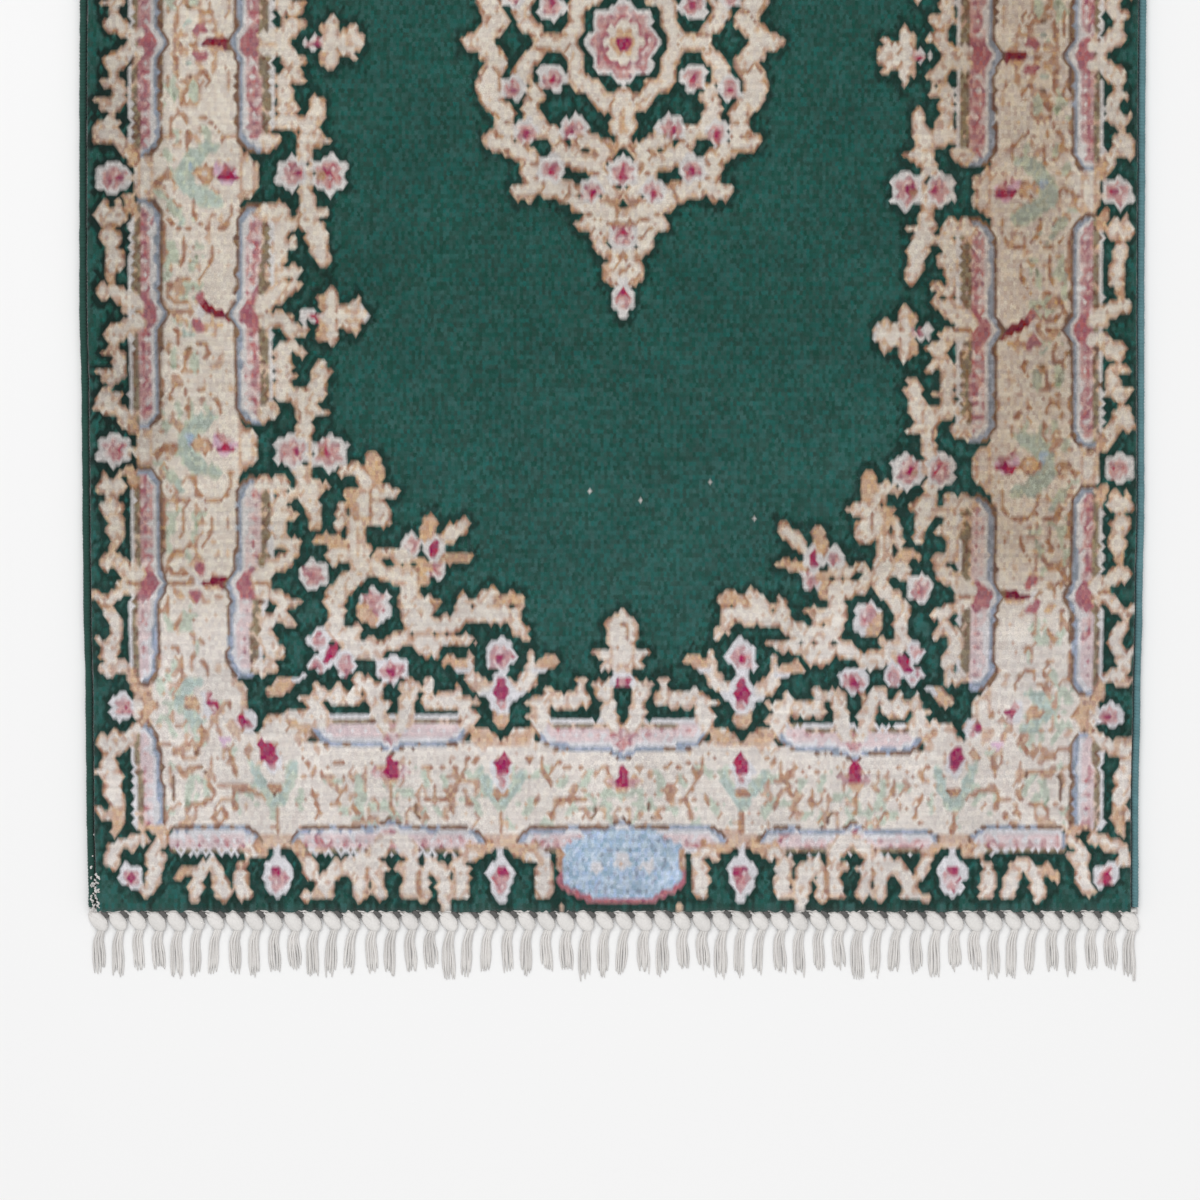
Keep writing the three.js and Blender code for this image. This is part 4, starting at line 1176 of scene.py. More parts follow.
def weave_coords(me, ij, name="weave"):
    layer = me.attributes.new(name, "FLOAT_VECTOR", "CORNER")
    v = np.zeros((len(ij), 3), np.float32)
    v[:, :2] = ij
    layer.data.foreach_set("vector", v.ravel())


def planar_map(me, u, v):
    layer = me.uv_layers.new(name="OFBake")
    layer.data.foreach_set("uv", np.stack([u, v], 1).astype(np.float32).ravel())


def grid_places(cls_rows, cls_columns, columns, rows, jitter, seed):
    """x and y of the vertex grid: one vertex on each knot and one round the edge."""
    x, y = knot_places(columns, rows)
    h, w = rows + 2, columns + 2
    gx, gy = np.zeros((h, w)), np.zeros((h, w))
    gx[1:-1, 1:-1], gy[1:-1, 1:-1] = x, y
    rng = np.random.RandomState(seed)
    gx[1:-1, 1:-1] += rng.uniform(-jitter, jitter, x.shape)
    gy[1:-1, 1:-1] += rng.uniform(-jitter, jitter, x.shape)
    yl = y[:, 0]
    gx[1:-1, 0], gy[1:-1, 0] = side_at(yl, 1) + CORD + GAP, yl
    gx[1:-1, -1], gy[1:-1, -1] = side_at(yl, 2) - CORD - GAP, yl
    for r, yy in ((0, -HALF), (-1, HALF)):
        left, right = float(side_at(yy, 1)) + CORD + GAP, float(side_at(yy, 2)) - CORD - GAP
        gx[r, 1:-1] = left + (np.arange(columns) + 0.5) / columns * (right - left)
        gx[r, 0], gx[r, -1] = left, right
        gy[r, :] = yy
    return gx, gy


def frame_index(h, w):
    """Knot coordinates of the vertex grid: knot i covers i to i + 1."""
    jj, ii = np.mgrid[0:h, 0:w].astype(float)
    return np.clip(ii - 0.5, 0, w - 2), np.clip(jj - 0.5, 0, h - 2)


def strips(h, w, base):
    """A hidden flat cover for a ring of vertices numbered from base: strips from the left
    edge to the right one."""
    n = 2 * (w - 1) + 2 * (h - 1)
    low = [base + k for k in range(w)]
    right = [base + w - 1 + k for k in range(h)]
    left = [base] + [base + n - k for k in range(1, h)]
    top = [base + w - 1 + h - 1 + k for k in range(w)]  # right to left
    faces = [low + [right[1], left[1]]]
    for k in range(1, h - 2):
        faces.append([left[k], right[k], right[k + 1], left[k + 1]])
    faces.append([left[h - 2], right[h - 2]] + top[:-1] + [left[h - 1]])
    return faces


def build_pile(chart):
    ink = tie_knots(chart, COLUMNS, ROWS)
    for x, y in ((591, 492), (641, 500), (710, 483), (755, 518)):  # bare warp knots in the field
        kx, ky = knot_places(COLUMNS, ROWS)
        cx, cy = to_chart(kx, ky)
        ink[np.unravel_index(np.argmin((cx - x) ** 2 + (cy - y) ** 2), ink.shape)] = WHITE
    h, w = ROWS + 2, COLUMNS + 2
    cls = np.pad(ink, 1, mode="edge")
    gx, gy = grid_places(h, w, COLUMNS, ROWS, 0.3, 11)
    faces, used = merge(cls)
    ring = ring_of(h, w)
    rng = np.random.RandomState(5)
    # the edge leans out unevenly where single tufts stick out
    out = rng.uniform(-0.25, 0.3, len(ring))
    ex, ey = gx[ring[:, 0], ring[:, 1]], gy[ring[:, 0], ring[:, 1]]
    nx = (ring[:, 1] == w - 1).astype(float) - (ring[:, 1] == 0)
    ny = (ring[:, 0] == h - 1).astype(float) - (ring[:, 0] == 0)
    ex, ey = ex + nx * (out - 0.3), ey + ny * (2.1 + out * 3.0)
    gx[ring[:, 0], ring[:, 1]], gy[ring[:, 0], ring[:, 1]] = ex, ey
    left, right = side_at(gy, 1) + CORD + GAP, side_at(gy, 2) - CORD - GAP
    d = np.minimum.reduce([gx - left, right - gx, gy + HALF, HALF - gy])
    z = 7.6 + waves(gx, gy) - 1.5 * np.clip(1 - np.maximum(d, 0) / 3.2, 0, 1) ** 2
    verts = [np.stack([gx.ravel(), gy.ravel(), z.ravel()], 1)]
    n, base = len(ring), h * w
    upper = ring[:, 0] * w + ring[:, 1]
    levels = ((4.6, 0.12, -0.5), (3.3, 0.0, -1.4), (2.45, -0.05, -2.6))
    for zz, push, tuck in levels:
        verts.append(np.stack([ex + nx * push, ey + ny * tuck, np.full(n, zz)], 1))
    faces = list(faces)
    rings = [upper] + [base + k * n + np.arange(n) for k in range(len(levels))]
    for a, b in zip(rings[:-1], rings[1:]):
        j = (np.arange(n) + 1) % n
        faces += np.stack([b, b[j], a[j], a], 1).tolist()
    last = base + (len(levels) - 1) * n
    faces += [f[::-1] for f in strips(h, w, last)]
    V = np.vstack(verts)
    keep = np.zeros(len(V), bool)
    keep[:base] = used.ravel()
    keep[base:] = True
    number = np.cumsum(keep) - 1
    faces = [[int(number[k]) for k in f] for f in faces]
    ob = make_mesh("rug_pile", V[keep] * 0.001, faces)
    me = ob.data
    px, py = to_chart(gx, gy)
    colour = dye_table(px, py, cls).reshape(-1, 3)
    ki, kj = frame_index(h, w)
    ij = np.stack([ki.ravel(), kj.ravel()], 1)
    reps = [upper] * len(levels)
    # painted shade: the rings of the rounded edge take the top's colours, darker ring by ring towards the floor
    colour = np.vstack([colour] + [colour[r] * f for r, f in zip(reps, (0.8, 0.62, 0.5))])
    ij = np.vstack([ij] + [ij[r] + np.stack([nx, ny], 1) * g for r, g in zip(reps, (1.0, 2.0, 2.4))])
    corner = loop_data(me)
    paint(me, colour[keep][corner])
    weave_coords(me, ij[keep][corner])
    # planar map: the top fills nearly all of it, the walls fold out round it
    P = V.copy()
    spread = np.zeros(len(V))
    for k, (zz, _, _) in enumerate(levels):
        spread[base + k * n: base + (k + 1) * n] = 8.0 - zz
    NX, NY = np.zeros(len(V)), np.zeros(len(V))
    for k in range(len(levels)):
        NX[base + k * n: base + (k + 1) * n], NY[base + k * n: base + (k + 1) * n] = nx, ny
    u = (P[:, 0] + NX * spread * 0.6 + 309.0) / 618.0
    v = (P[:, 1] + NY * spread * 0.6 + 502.0) / 1004.0
    u, v = u[keep][corner].copy(), v[keep][corner].copy()
    # the hidden cover goes in a corner of the map
    start = np.empty(len(me.polygons), np.int32)
    total = np.empty(len(me.polygons), np.int32)
    me.polygons.foreach_get("loop_start", start)
    me.polygons.foreach_get("loop_total", total)
    owner = np.repeat(np.arange(len(me.polygons)), total)
    hidden = owner >= len(me.polygons) - (h - 1)
    u[hidden] = 0.0005 + 0.003 * u[hidden]
    v[hidden] = 0.0005 + 0.003 * v[hidden]
    planar_map(me, u, v)
    return ob, cls


def build_back(chart):
    """The woven back: the same knots seen from below, flat between rows of weft."""
    columns, rows = COLUMNS // 2, ROWS // 2
    ink = tie_knots(chart, columns, rows, mottle=False)
    h, w = rows + 2, columns + 2
    gx, gy = grid_places(h, w, columns, rows, 0.0, 1)
    # cells here carry the colour themselves, so each knot is a square of its own
    cell = np.pad(ink, 1, mode="edge")[:h - 1, :w - 1]
    ring = ring_of(h, w)
    n, base = len(ring), h * w
    ex, ey = gx[ring[:, 0], ring[:, 1]], gy[ring[:, 0], ring[:, 1]]
    quads = []
    colour_of = []
    px, py = to_chart(gx, gy)
    dyes = dye_table(px, py, np.pad(ink, 1, mode="edge"))
    free = np.ones((h - 1, w - 1), bool)
    used = np.zeros((h, w), bool)
    blocks = []
    for s in (8, 4, 2):
        for r in range(s, h - 1 - s, s):
            for c in range(s, w - 1 - s, s):
                part = cell[r:r + s, c:c + s]
                if (part == part[0, 0]).all() and free[r:r + s, c:c + s].all():
                    free[r:r + s, c:c + s] = False
                    blocks.append((r, c, s))
                    used[r, c] = used[r + s, c] = used[r, c + s] = used[r + s, c + s] = True
    r, c = np.nonzero(free)
    for a, b in ((0, 0), (0, 1), (1, 0), (1, 1)):
        used[r + a, c + b] = True
    faces = np.stack([r * w + c, (r + 1) * w + c, (r + 1) * w + c + 1, r * w + c + 1], 1).tolist()
    tone = [dyes[a, b] for a, b in zip(r, c)]
    for r, c, s in blocks:
        side = []
        side += [r * w + k for k in range(c, c + s) if used[r, k]]
        side += [k * w + c + s for k in range(r, r + s) if used[k, c + s]]
        side += [(r + s) * w + k for k in range(c + s, c, -1) if used[r + s, k]]
        side += [k * w + c for k in range(r + s, r, -1) if used[k, c]]
        faces.append(side[::-1])
        tone.append(dyes[r + s // 2, c + s // 2])
    patterned = len(faces)
    lower = ring[:, 0] * w + ring[:, 1]
    top = base + np.arange(n)
    j = (np.arange(n) + 1) % n
    faces += np.stack([lower, lower[j], top[j], top], 1).tolist()
    faces += strips(h, w, base)
    V = np.vstack([np.stack([gx.ravel(), gy.ravel(), np.zeros(h * w)], 1),
                   np.stack([ex, ey, np.full(n, 2.3)], 1)])
    keep = np.ones(len(V), bool)
    keep[:base] = used.ravel()
    number = np.cumsum(keep) - 1
    faces = [[int(number[k]) for k in f] for f in faces]
    ob = make_mesh("rug_foundation", V[keep] * 0.001, faces, smooth=False)
    me = ob.data
    total = np.empty(len(me.polygons), np.int32)
    me.polygons.foreach_get("loop_total", total)
    owner = np.repeat(np.arange(len(me.polygons)), total)
    cotton = linear((205, 198, 186))
    tones = np.vstack([np.array(tone), np.tile(cotton, (len(me.polygons) - patterned, 1))])
    corner = loop_data(me)
    paint(me, tones[owner])
    ki, kj = frame_index(h, w)
    ij = np.stack([ki.ravel(), kj.ravel()], 1) * 2
    ij = np.vstack([ij, ij[lower] + 0.5])
    weave_coords(me, ij[keep][corner])
    u = (V[:, 0] + 309.0) / 618.0
    v = (V[:, 1] + 502.0) / 1004.0
    u, v = u[keep][corner].copy(), v[keep][corner].copy()
    hidden = owner >= len(me.polygons) - (h - 1)
    u[hidden] = 0.0005 + 0.003 * u[hidden]
    v[hidden] = 0.0005 + 0.003 * v[hidden]
    planar_map(me, u, v)
    return ob


class Yarns:
    """Tubes gathered into one mesh."""

    def __init__(self):
        self.v, self.f, self.n, self.t = [], [], 0, []

    def tube(self, path, radius, sides=6, twist=0.0, lobes=0, depth=0.0, flat=1.0, tint=1.0, floor=0.0):
        """A closed tube along path (k, 3) in mm; radius may vary along it. `flat` squashes
        its height, and lobes with twist give it plied strands."""
        p = np.asarray(path, float)
        k = len(p)
        r = np.broadcast_to(np.asarray(radius, float), (k,))
        t = np.gradient(p, axis=0)
        t /= np.linalg.norm(t, axis=1)[:, None]
        up = np.array([0.0, 0.0, 1.0])
        side = np.cross(t, up)
        bad = np.linalg.norm(side, axis=1) < 1e-3
        side[bad] = np.array([1.0, 0.0, 0.0])
        side /= np.linalg.norm(side, axis=1)[:, None]
        lift = np.cross(side, t)
        s = np.concatenate([[0], np.cumsum(np.linalg.norm(np.diff(p, axis=0), axis=1))])
        a = 2 * np.pi * np.arange(sides) / sides
        rr = r[:, None] * (1 + depth * np.cos(lobes * a[None, :] + twist * s[:, None]))
        ring = p[:, None, :] + side[:, None, :] * (rr * np.cos(a))[..., None] \
            + lift[:, None, :] * (rr * np.sin(a) * flat)[..., None]
        ring[..., 2] = np.maximum(ring[..., 2], floor)
        b = self.n
        self.v.append(ring.reshape(-1, 3))
        i, j = np.mgrid[0:k - 1, 0:sides]
        jn = (j + 1) % sides
        q = np.stack([b + i * sides + j, b + i * sides + jn, b + (i + 1) * sides + jn, b + (i + 1) * sides + j], -1)
        self.f += q.reshape(-1, 4).tolist()
        tips = np.array([p[0] - t[0] * r[0] * 0.4, p[-1] + t[-1] * r[-1] * 0.4])
        tips[:, 2] = np.maximum(tips[:, 2], floor)
        self.v.append(tips)
        c0, c1 = b + k * sides, b + k * sides + 1
        self.f += [[c0, b + (m + 1) % sides, b + m] for m in range(sides)]
        e = b + (k - 1) * sides
        self.f += [[c1, e + m, e + (m + 1) % sides] for m in range(sides)]
        self.t += [tint] * (k * sides + 2)
        self.n += k * sides + 2

    def build(self, name):
        ob = make_mesh(name, np.vstack(self.v) * 0.001, self.f)
        me = ob.data
        bm_fix_normals(me)
        t = np.array(self.t)[loop_data(me)]
        paint(me, np.stack([t, t, t], 1), "tint")
        return ob


def bm_fix_normals(me):
    import bmesh
    bm = bmesh.new()
    bm.from_mesh(me)
    bmesh.ops.recalc_face_normals(bm, faces=bm.faces)
    bm.to_mesh(me)
    bm.free()


def build_selvedge(side):
    """Wool yarn wound over the edge warps: one long cord with a ridge for every turn."""
    col = 1 if side == "left" else 2
    outward = -1 if side == "left" else 1
    rng = np.random.RandomState(17 + col)
    pitch, per, sides = 1.9, 4, 12
    k = int(2 * HALF / pitch) * per
    y = np.linspace(-HALF + 0.2, HALF - 0.2, k)
    x = side_at(y, col) - outward * CORD / 2
    s = y - y[0]
    # no two turns are alike
    turn = s / pitch + 0.25 * np.interp(s, np.arange(0, 1100, 9.0), rng.uniform(-1, 1, 123))
    swell = 1 + 0.07 * np.interp(s, np.arange(0, 1100, 4.0), rng.uniform(-1, 1, 275))
    a = 2 * np.pi * (np.arange(sides) + 0.5) / sides - np.pi / 2
    lean = 0.16 * np.cos(a) + 0.1 * np.sin(a)
    ph = 2 * np.pi * (turn[:, None] + lean[None, :])
    ridge = 1 + 0.085 * np.abs(np.cos(ph / 2)) * 2 - 0.085
    hx = (CORD / 2 - 0.25) * swell[:, None] * ridge
    hz = (5.6 / 2 - 0.2) * swell[:, None] * ridge
    vx = x[:, None] + outward * hx * np.cos(a)[None, :]
    vz = np.maximum(0.0, 2.65 + hz * np.sin(a)[None, :])
    vy = np.repeat(y[:, None], sides, 1)
    V = np.stack([vx, vy, vz], -1).reshape(-1, 3)
    i, j = np.mgrid[0:k - 1, 0:sides]
    jn = (j + 1) % sides
    f = np.stack([i * sides + j, i * sides + jn, (i + 1) * sides + jn, (i + 1) * sides + j], -1).reshape(-1, 4).tolist()
    f += [list(range(sides)), [(k - 1) * sides + m for m in range(sides)][::-1]]
    ob = make_mesh("cord_" + side, V * 0.001, f)
    bm_fix_normals(ob.data)
    # painted shade: each turn is lighter on its ridge and darker in the groove between turns, over an uneven tone along
    # the cord
    tone = 0.86 + 0.2 * np.abs(np.cos(ph / 2)) + 0.1 * np.interp(s, np.arange(0, 1100, 3.0), rng.uniform(-1, 1, 367))[:, None]
    t = tone.reshape(-1)[loop_data(ob.data)]
    paint(ob.data, np.stack([t, t, t], 1), "tint")
    return ob


BUNDLES = [
    (27, 0.8, 6.4, 1.0), (30, -0.5, 5.6, 0.94), (25, 1.5, 6.8, 1.03), (29, 0.2, 6.0, 0.98),
    (28, -1.4, 5.4, 0.95), (31, 0.6, 6.6, 1.02), (26, 1.1, 6.1, 0.97)]


def build_fringe(end):
    """The warp ends: a few plain weft shoots, then a slanting hitch and a tassel for each
    bundle."""
    rng = np.random.RandomState(61 if end < 0 else 67)
    left, right = float(side_at(end * HALF, 1)), float(side_at(end * HALF, 2))
    teeth = 54
    pitch = (right - left) / teeth
    edge = HALF + GAP + 3.4
    ys = Yarns()

    def put(path, *a, **k):
        p = np.asarray(path, float)
        p[:, 1] *= end
        ys.tube(p, *a, **k)

    # weft shoots along the end
    for row in range(3):
        xs = np.arange(left + 0.6, right - 0.6, 1.85)
        ph = rng.uniform(0, 6.28)
        yy = HALF + GAP + 0.85 + row * 1.15 + 0.12 * np.sin(xs * 0.21 + ph) + rng.uniform(-0.08, 0.08, len(xs))
        zz = 1.15 + 0.3 * np.sin(np.pi * np.arange(len(xs)) + row * np.pi) + 0.15 * (row == 1)
        put(np.stack([xs, yy, zz], 1), 0.62, 6, tint=rng.uniform(0.9, 1.0))
    # the twined cord that holds the heads of the hitches
    xs = np.arange(left + 1.2, right - 1.2, 1.5)
    yy = edge - 2.0 + 0.3 * np.sin(xs * 0.13 + 1.0) + rng.uniform(-0.12, 0.12, len(xs))
    put(np.stack([xs, yy, 4.6 + 0.25 * np.sin(2 * np.pi * (xs - left) / pitch)], 1), 0.95, 8, twist=0.9, lobes=2, depth=0.22, tint=0.93)
    for i in range(teeth):
        length, lean, width, knot = BUNDLES[(i * 3 + (2 if end > 0 else 0)) % len(BUNDLES)]
        x = left + pitch * (i + 0.5)
        k = 10.6 * knot
        # warps running from the weave into the hitch
        for m in range(4):
            o = (m - 1.5) * 1.5
            p = [(x + o * 1.25, HALF + GAP + 0.4, 0.9), (x + o, edge + 0.3, 1.5), (x + o * 0.5 + 0.4, edge + k * 0.4, 1.9)]
            put(smooth_path(p, 5), 0.6, 6, tint=rng.uniform(0.88, 1.0))
        # the hitch: plied strands wound slantwise into a fat bead
        slant = 4.6 + rng.uniform(-0.6, 0.6)
        t = np.linspace(0, 1, 13)
        bx = x - slant * (1 - 2 * t) * 0.8 + 0.2
        by = edge - 1.5 + k * t
        fat = 4.5 * knot * np.power(np.clip(np.sin(np.pi * (0.07 + 0.86 * t)), 0, 1), 0.55)
        bz = 2.0 + 0.9 * (1 - t)
        put(np.stack([bx, by, bz], 1), fat, 24, twist=0.36, lobes=8, depth=0.05, flat=0.52,
            tint=rng.uniform(0.98, 1.06))
        # painted shadow: a dark cotton tube in the slit where a hitch tucks under the next
        if i:
            put(smooth_path([(x - 8.6, edge - 1.6, 4.5), (x - 7.0, edge - 0.2, 4.9), (x - 5.6, edge + 1.8, 4.2)], 4), 1.4, 6,
                tint=0.16)
        # a strand that crosses over it
        c = np.linspace(0, 1, 7)
        cx = x - 5.4 + 10.4 * c + 0.3
        cy = edge - 1.6 + k * (0.10 + 0.66 * c) + rng.uniform(-0.2, 0.2)
        cz = 4.15 + 0.75 * np.sin(np.pi * c) - 1.4 * c
        put(np.stack([cx, cy, cz], 1), 0.72, 6, tint=rng.uniform(0.96, 1.04))
        # the tassel
        root = (x + 2.4, edge - 1.5 + k * 0.9)
        for m in range(7):
            o = (m - 3) / 3.0
            ln = length * rng.uniform(0.82, 1.0)
            bend = rng.uniform(-0.9, 0.9)
            tip_x = x + lean + o * width * 0.42 + rng.uniform(-0.4, 0.4)
            pts = [(root[0] + o * 1.3, root[1], 1.5 + 0.3 * (m % 2)),
                   (x + 0.6 * lean * 0.3 + o * width * 0.36, root[1] + ln * 0.3, 1.0 + 0.75 * (m % 2)),
                   (x + lean * 0.6 + o * width * 0.46 + bend * 0.5, root[1] + ln * 0.66, 0.75 + 0.6 * (m % 2)),
                   (tip_x + bend * 0.3, root[1] + ln, 0.5)]
            p = smooth_path(pts, 4)
            r = np.full(len(p), 0.62)
            r[-2:] *= (0.8, 0.45)
            put(p, r, 6, twist=2.2, lobes=2, depth=0.14, tint=rng.uniform(0.86, 1.02))
    ob = ys.build("warp_ends_" + ("lower" if end < 0 else "upper"))
    return ob


def smooth_path(points, per):
    p = np.array(points, float)
    q = np.vstack([2 * p[0] - p[1], p, 2 * p[-1] - p[-2]])
    out = []
    for i in range(1, len(q) - 2):
        t = np.linspace(0, 1, per, endpoint=i == len(q) - 3)[:, None]
        a, b, c, d = q[i - 1], q[i], q[i + 1], q[i + 2]
        out.append(0.5 * (2 * b + (c - a) * t + (2 * a - 5 * b + 4 * c - d) * t**2
                          + (3 * b - a - 3 * c + d) * t**3))
    return np.vstack(out)


def build_frays():
    """Cotton ends that have worked out of the lower left edge."""
    ys = Yarns()
    rng = np.random.RandomState(9)
    for cy in (833, 856, 870, *np.linspace(876, 911, 40)):
        y = (42 - cy) * 0.574 + rng.uniform(-0.8, 0.8)
        x0 = float(side_at(y, 1)) + CORD + rng.uniform(-2.6, 2.4)
        n = rng.uniform(0.7, 2.1)
        a = rng.uniform(-1.4, 2.4)
        dx, dy = 0.6 * np.cos(a), np.sin(a)
        top = 7.6 if x0 > float(side_at(y, 1)) + CORD + 0.6 else 5.6
        pts = [(x0, y, top - 0.6), (x0 + n * 0.3 * dx, y + n * 0.35 * dy, top + 0.2),
               (x0 + n * 0.7 * dx - 0.7 * dy, y + n * 0.65 * dy, top), (x0 + n * dx, y + n * dy, top - 0.5)]
        ys.tube(smooth_path(pts, 4), rng.uniform(0.3, 0.62), 6, tint=rng.uniform(0.7, 0.95))
    return ys.build("edge_frays")


# ------------------------------------------------------------------ materials
class Net:
    """Short forms for building a node tree."""

    def __init__(self, name):
        self.mat = bpy.data.materials.new(name)
        self.mat.use_nodes = True
        self.t = self.mat.node_tree
        self.bsdf = next(n for n in self.t.nodes if n.type == "BSDF_PRINCIPLED")

    def node(self, kind, **props):
        n = self.t.nodes.new(kind)
        for k, v in props.items():
            setattr(n, k, v)
        return n

    def wire(self, a, b):
        self.t.links.new(a, b)

    def math(self, op, a, b=None, c=None, clamp=False):
        n = self.node("ShaderNodeMath", operation=op, use_clamp=clamp)
        for i, v in enumerate((a, b, c)):
            if v is None:
                continue
            if isinstance(v, (int, float)):
                n.inputs[i].default_value = v
            else:
                self.wire(v, n.inputs[i])
        return n.outputs[0]

    def vec(self, op, a, b=None):
        n = self.node("ShaderNodeVectorMath", operation=op)
        for i, v in enumerate((a, b)):
            if v is None:
                continue
            if isinstance(v, tuple):
                n.inputs[i].default_value = v
            else:
                self.wire(v, n.inputs[i])
        return n.outputs[0]

    def attribute(self, name):
        return self.node("ShaderNodeAttribute", attribute_name=name, attribute_type="GEOMETRY")

    def noise(self, vector, scale, detail=2.0, rough=0.5):
        n = self.node("ShaderNodeTexNoise")
        n.inputs["Scale"].default_value = scale
        n.inputs["Detail"].default_value = detail
        n.inputs["Roughness"].default_value = rough
        self.wire(vector, n.inputs["Vector"])
        return n

    def scaled(self, colour, factor):
        n = self.node("ShaderNodeVectorMath", operation="SCALE")
        self.wire(colour, n.inputs[0])
        if isinstance(factor, (int, float)):
            n.inputs["Scale"].default_value = factor
        else:
            self.wire(factor, n.inputs["Scale"])
        return n.outputs[0]

    def about_one(self, value, amount, centre=0.5):
        """1 + (value - centre) * amount"""
        return self.math("MULTIPLY_ADD", self.math("SUBTRACT", value, centre), amount, 1.0)


def cloth_finish(net, rough, sheen, sheen_rough, specular):
    b = net.bsdf
    b.inputs["Roughness"].default_value = rough
    b.inputs["Sheen Weight"].default_value = sheen
    b.inputs["Sheen Roughness"].default_value = sheen_rough
    b.inputs["Specular IOR Level"].default_value = specular


def wool_pile():
    """Cut wool pile: every knot its own shade, its tip a tuft of fibres."""
    net = Net("wool_pile")
    place = net.node("ShaderNodeTexCoord").outputs["Object"]
    dye = net.attribute("dye").outputs["Color"]
    weave = net.attribute("weave").outputs["Vector"]
    fuzz = net.noise(place, 1500.0, 1.0)
    off = net.vec("MULTIPLY", net.vec("SUBTRACT", fuzz.outputs["Color"], (0.5, 0.5, 0.5)), (1.5, 1.5, 0.0))
    knot = net.vec("FLOOR", net.vec("ADD", weave, off))
    white = net.node("ShaderNodeTexWhiteNoise", noise_dimensions="2D")
    net.wire(knot, white.inputs["Vector"])
    # dark wools vary more from knot to knot than pale ones
    light = net.node("ShaderNodeSeparateXYZ")
    net.wire(dye, light.inputs[0])
    pale = net.math("MULTIPLY", light.outputs[0], 1.6, clamp=True)
    vary = net.math("MULTIPLY_ADD", pale, -0.42, 0.62)
    shade = net.math("MULTIPLY_ADD", net.math("SUBTRACT", white.outputs["Value"], 0.5), vary, 1.0)
    # rows of weft show as faint level streaks
    streak = net.noise(net.vec("MULTIPLY", weave, (0.03, 0.9, 0.0)), 1.0, 1.0)
    shade = net.math("MULTIPLY", shade, net.about_one(streak.outputs[0], 0.4))
    # dye lots and wear
    patch = net.noise(place, 26.0, 3.0, 0.55)
    shade = net.math("MULTIPLY", shade, net.about_one(patch.outputs[0], 0.5))
    fibre = net.noise(place, 2100.0, 2.0, 0.6)
    shade = net.math("MULTIPLY", shade, net.about_one(fibre.outputs[0], 0.9))
    colour = net.scaled(dye, shade)
    hue = net.node("ShaderNodeHueSaturation")
    net.wire(colour, hue.inputs["Color"])
    net.wire(net.math("MULTIPLY_ADD", net.node_value(white, 0), 0.03, 0.485), hue.inputs["Hue"])
    net.wire(net.math("MULTIPLY_ADD", net.node_value(white, 1), 0.3, 0.85), hue.inputs["Saturation"])
    net.wire(hue.outputs[0], net.bsdf.inputs["Base Color"])
    # relief: each knot a small dome, broken up by fibres
    split = net.node("ShaderNodeSeparateXYZ")
    net.wire(net.vec("FRACTION", net.vec("ADD", weave, off)), split.inputs[0])
    domes = []
    for k in (0, 1):
        d = net.math("SUBTRACT", split.outputs[k], 0.5)
        domes.append(net.math("SUBTRACT", 1.0, net.math("MULTIPLY", net.math("MULTIPLY", d, d), 4.0)))
    dome = net.math("MULTIPLY", domes[0], domes[1])
    height = net.math("ADD", net.math("MULTIPLY", dome, 0.6),
                      net.math("ADD", net.math("MULTIPLY", fibre.outputs[0], 0.9),
                               net.math("MULTIPLY", white.outputs["Value"], 0.5)))
    bump = net.node("ShaderNodeBump")
    bump.inputs["Strength"].default_value = 0.55
    bump.inputs["Distance"].default_value = 0.0006
    net.wire(height, bump.inputs["Height"])
    net.wire(bump.outputs[0], net.bsdf.inputs["Normal"])
    cloth_finish(net, 0.95, 0.25, 0.5, 0.15)
    return net.mat


def node_value(self, white, k):
    """One channel of a white noise's colour."""
    n = self.node("ShaderNodeSeparateXYZ")
    self.wire(white.outputs["Color"], n.inputs[0])
    return n.outputs[k]


Net.node_value = node_value


def woven_back():
    """The back: knots in level rows with the cotton weft showing between them."""
    net = Net("woven_back")
    place = net.node("ShaderNodeTexCoord").outputs["Object"]
    dye = net.attribute("dye").outputs["Color"]
    weave = net.attribute("weave").outputs["Vector"]
    split = net.node("ShaderNodeSeparateXYZ")
    net.wire(weave, split.inputs[0])
    fine = net.noise(place, 1400.0, 2.0)
    j = net.math("ADD", split.outputs[1], net.math("MULTIPLY", fine.outputs[0], 0.25))
    i = net.math("ADD", split.outputs[0], net.math("MULTIPLY", fine.outputs[0], 0.2))
    row = net.math("ABSOLUTE", net.math("SUBTRACT", net.math("FRACT", j), 0.5))
    col = net.math("ABSOLUTE", net.math("SUBTRACT", net.math("FRACT", i), 0.5))
    gap = net.math("GREATER_THAN", row, 0.36)
    mix = net.node("ShaderNodeMix", data_type="RGBA")
    net.wire(net.math("MULTIPLY", gap, 0.5), mix.inputs["Factor"])
    net.wire(net.scaled(dye, net.about_one(fine.outputs[0], 0.5)), mix.inputs["A"])
    mix.inputs["B"].default_value = (*linear((196, 188, 174)), 1)
    net.wire(mix.outputs["Result"], net.bsdf.inputs["Base Color"])
    height = net.math("SUBTRACT", 1.0, net.math("ADD", net.math("MULTIPLY", row, 1.4), net.math("MULTIPLY", col, 0.9)))
    bump = net.node("ShaderNodeBump")
    bump.inputs["Strength"].default_value = 0.7
    bump.inputs["Distance"].default_value = 0.0006
    net.wire(net.math("ADD", height, net.math("MULTIPLY", fine.outputs[0], 0.5)), bump.inputs["Height"])
    net.wire(bump.outputs[0], net.bsdf.inputs["Normal"])
    cloth_finish(net, 0.95, 0.1, 0.5, 0.15)
    return net.mat


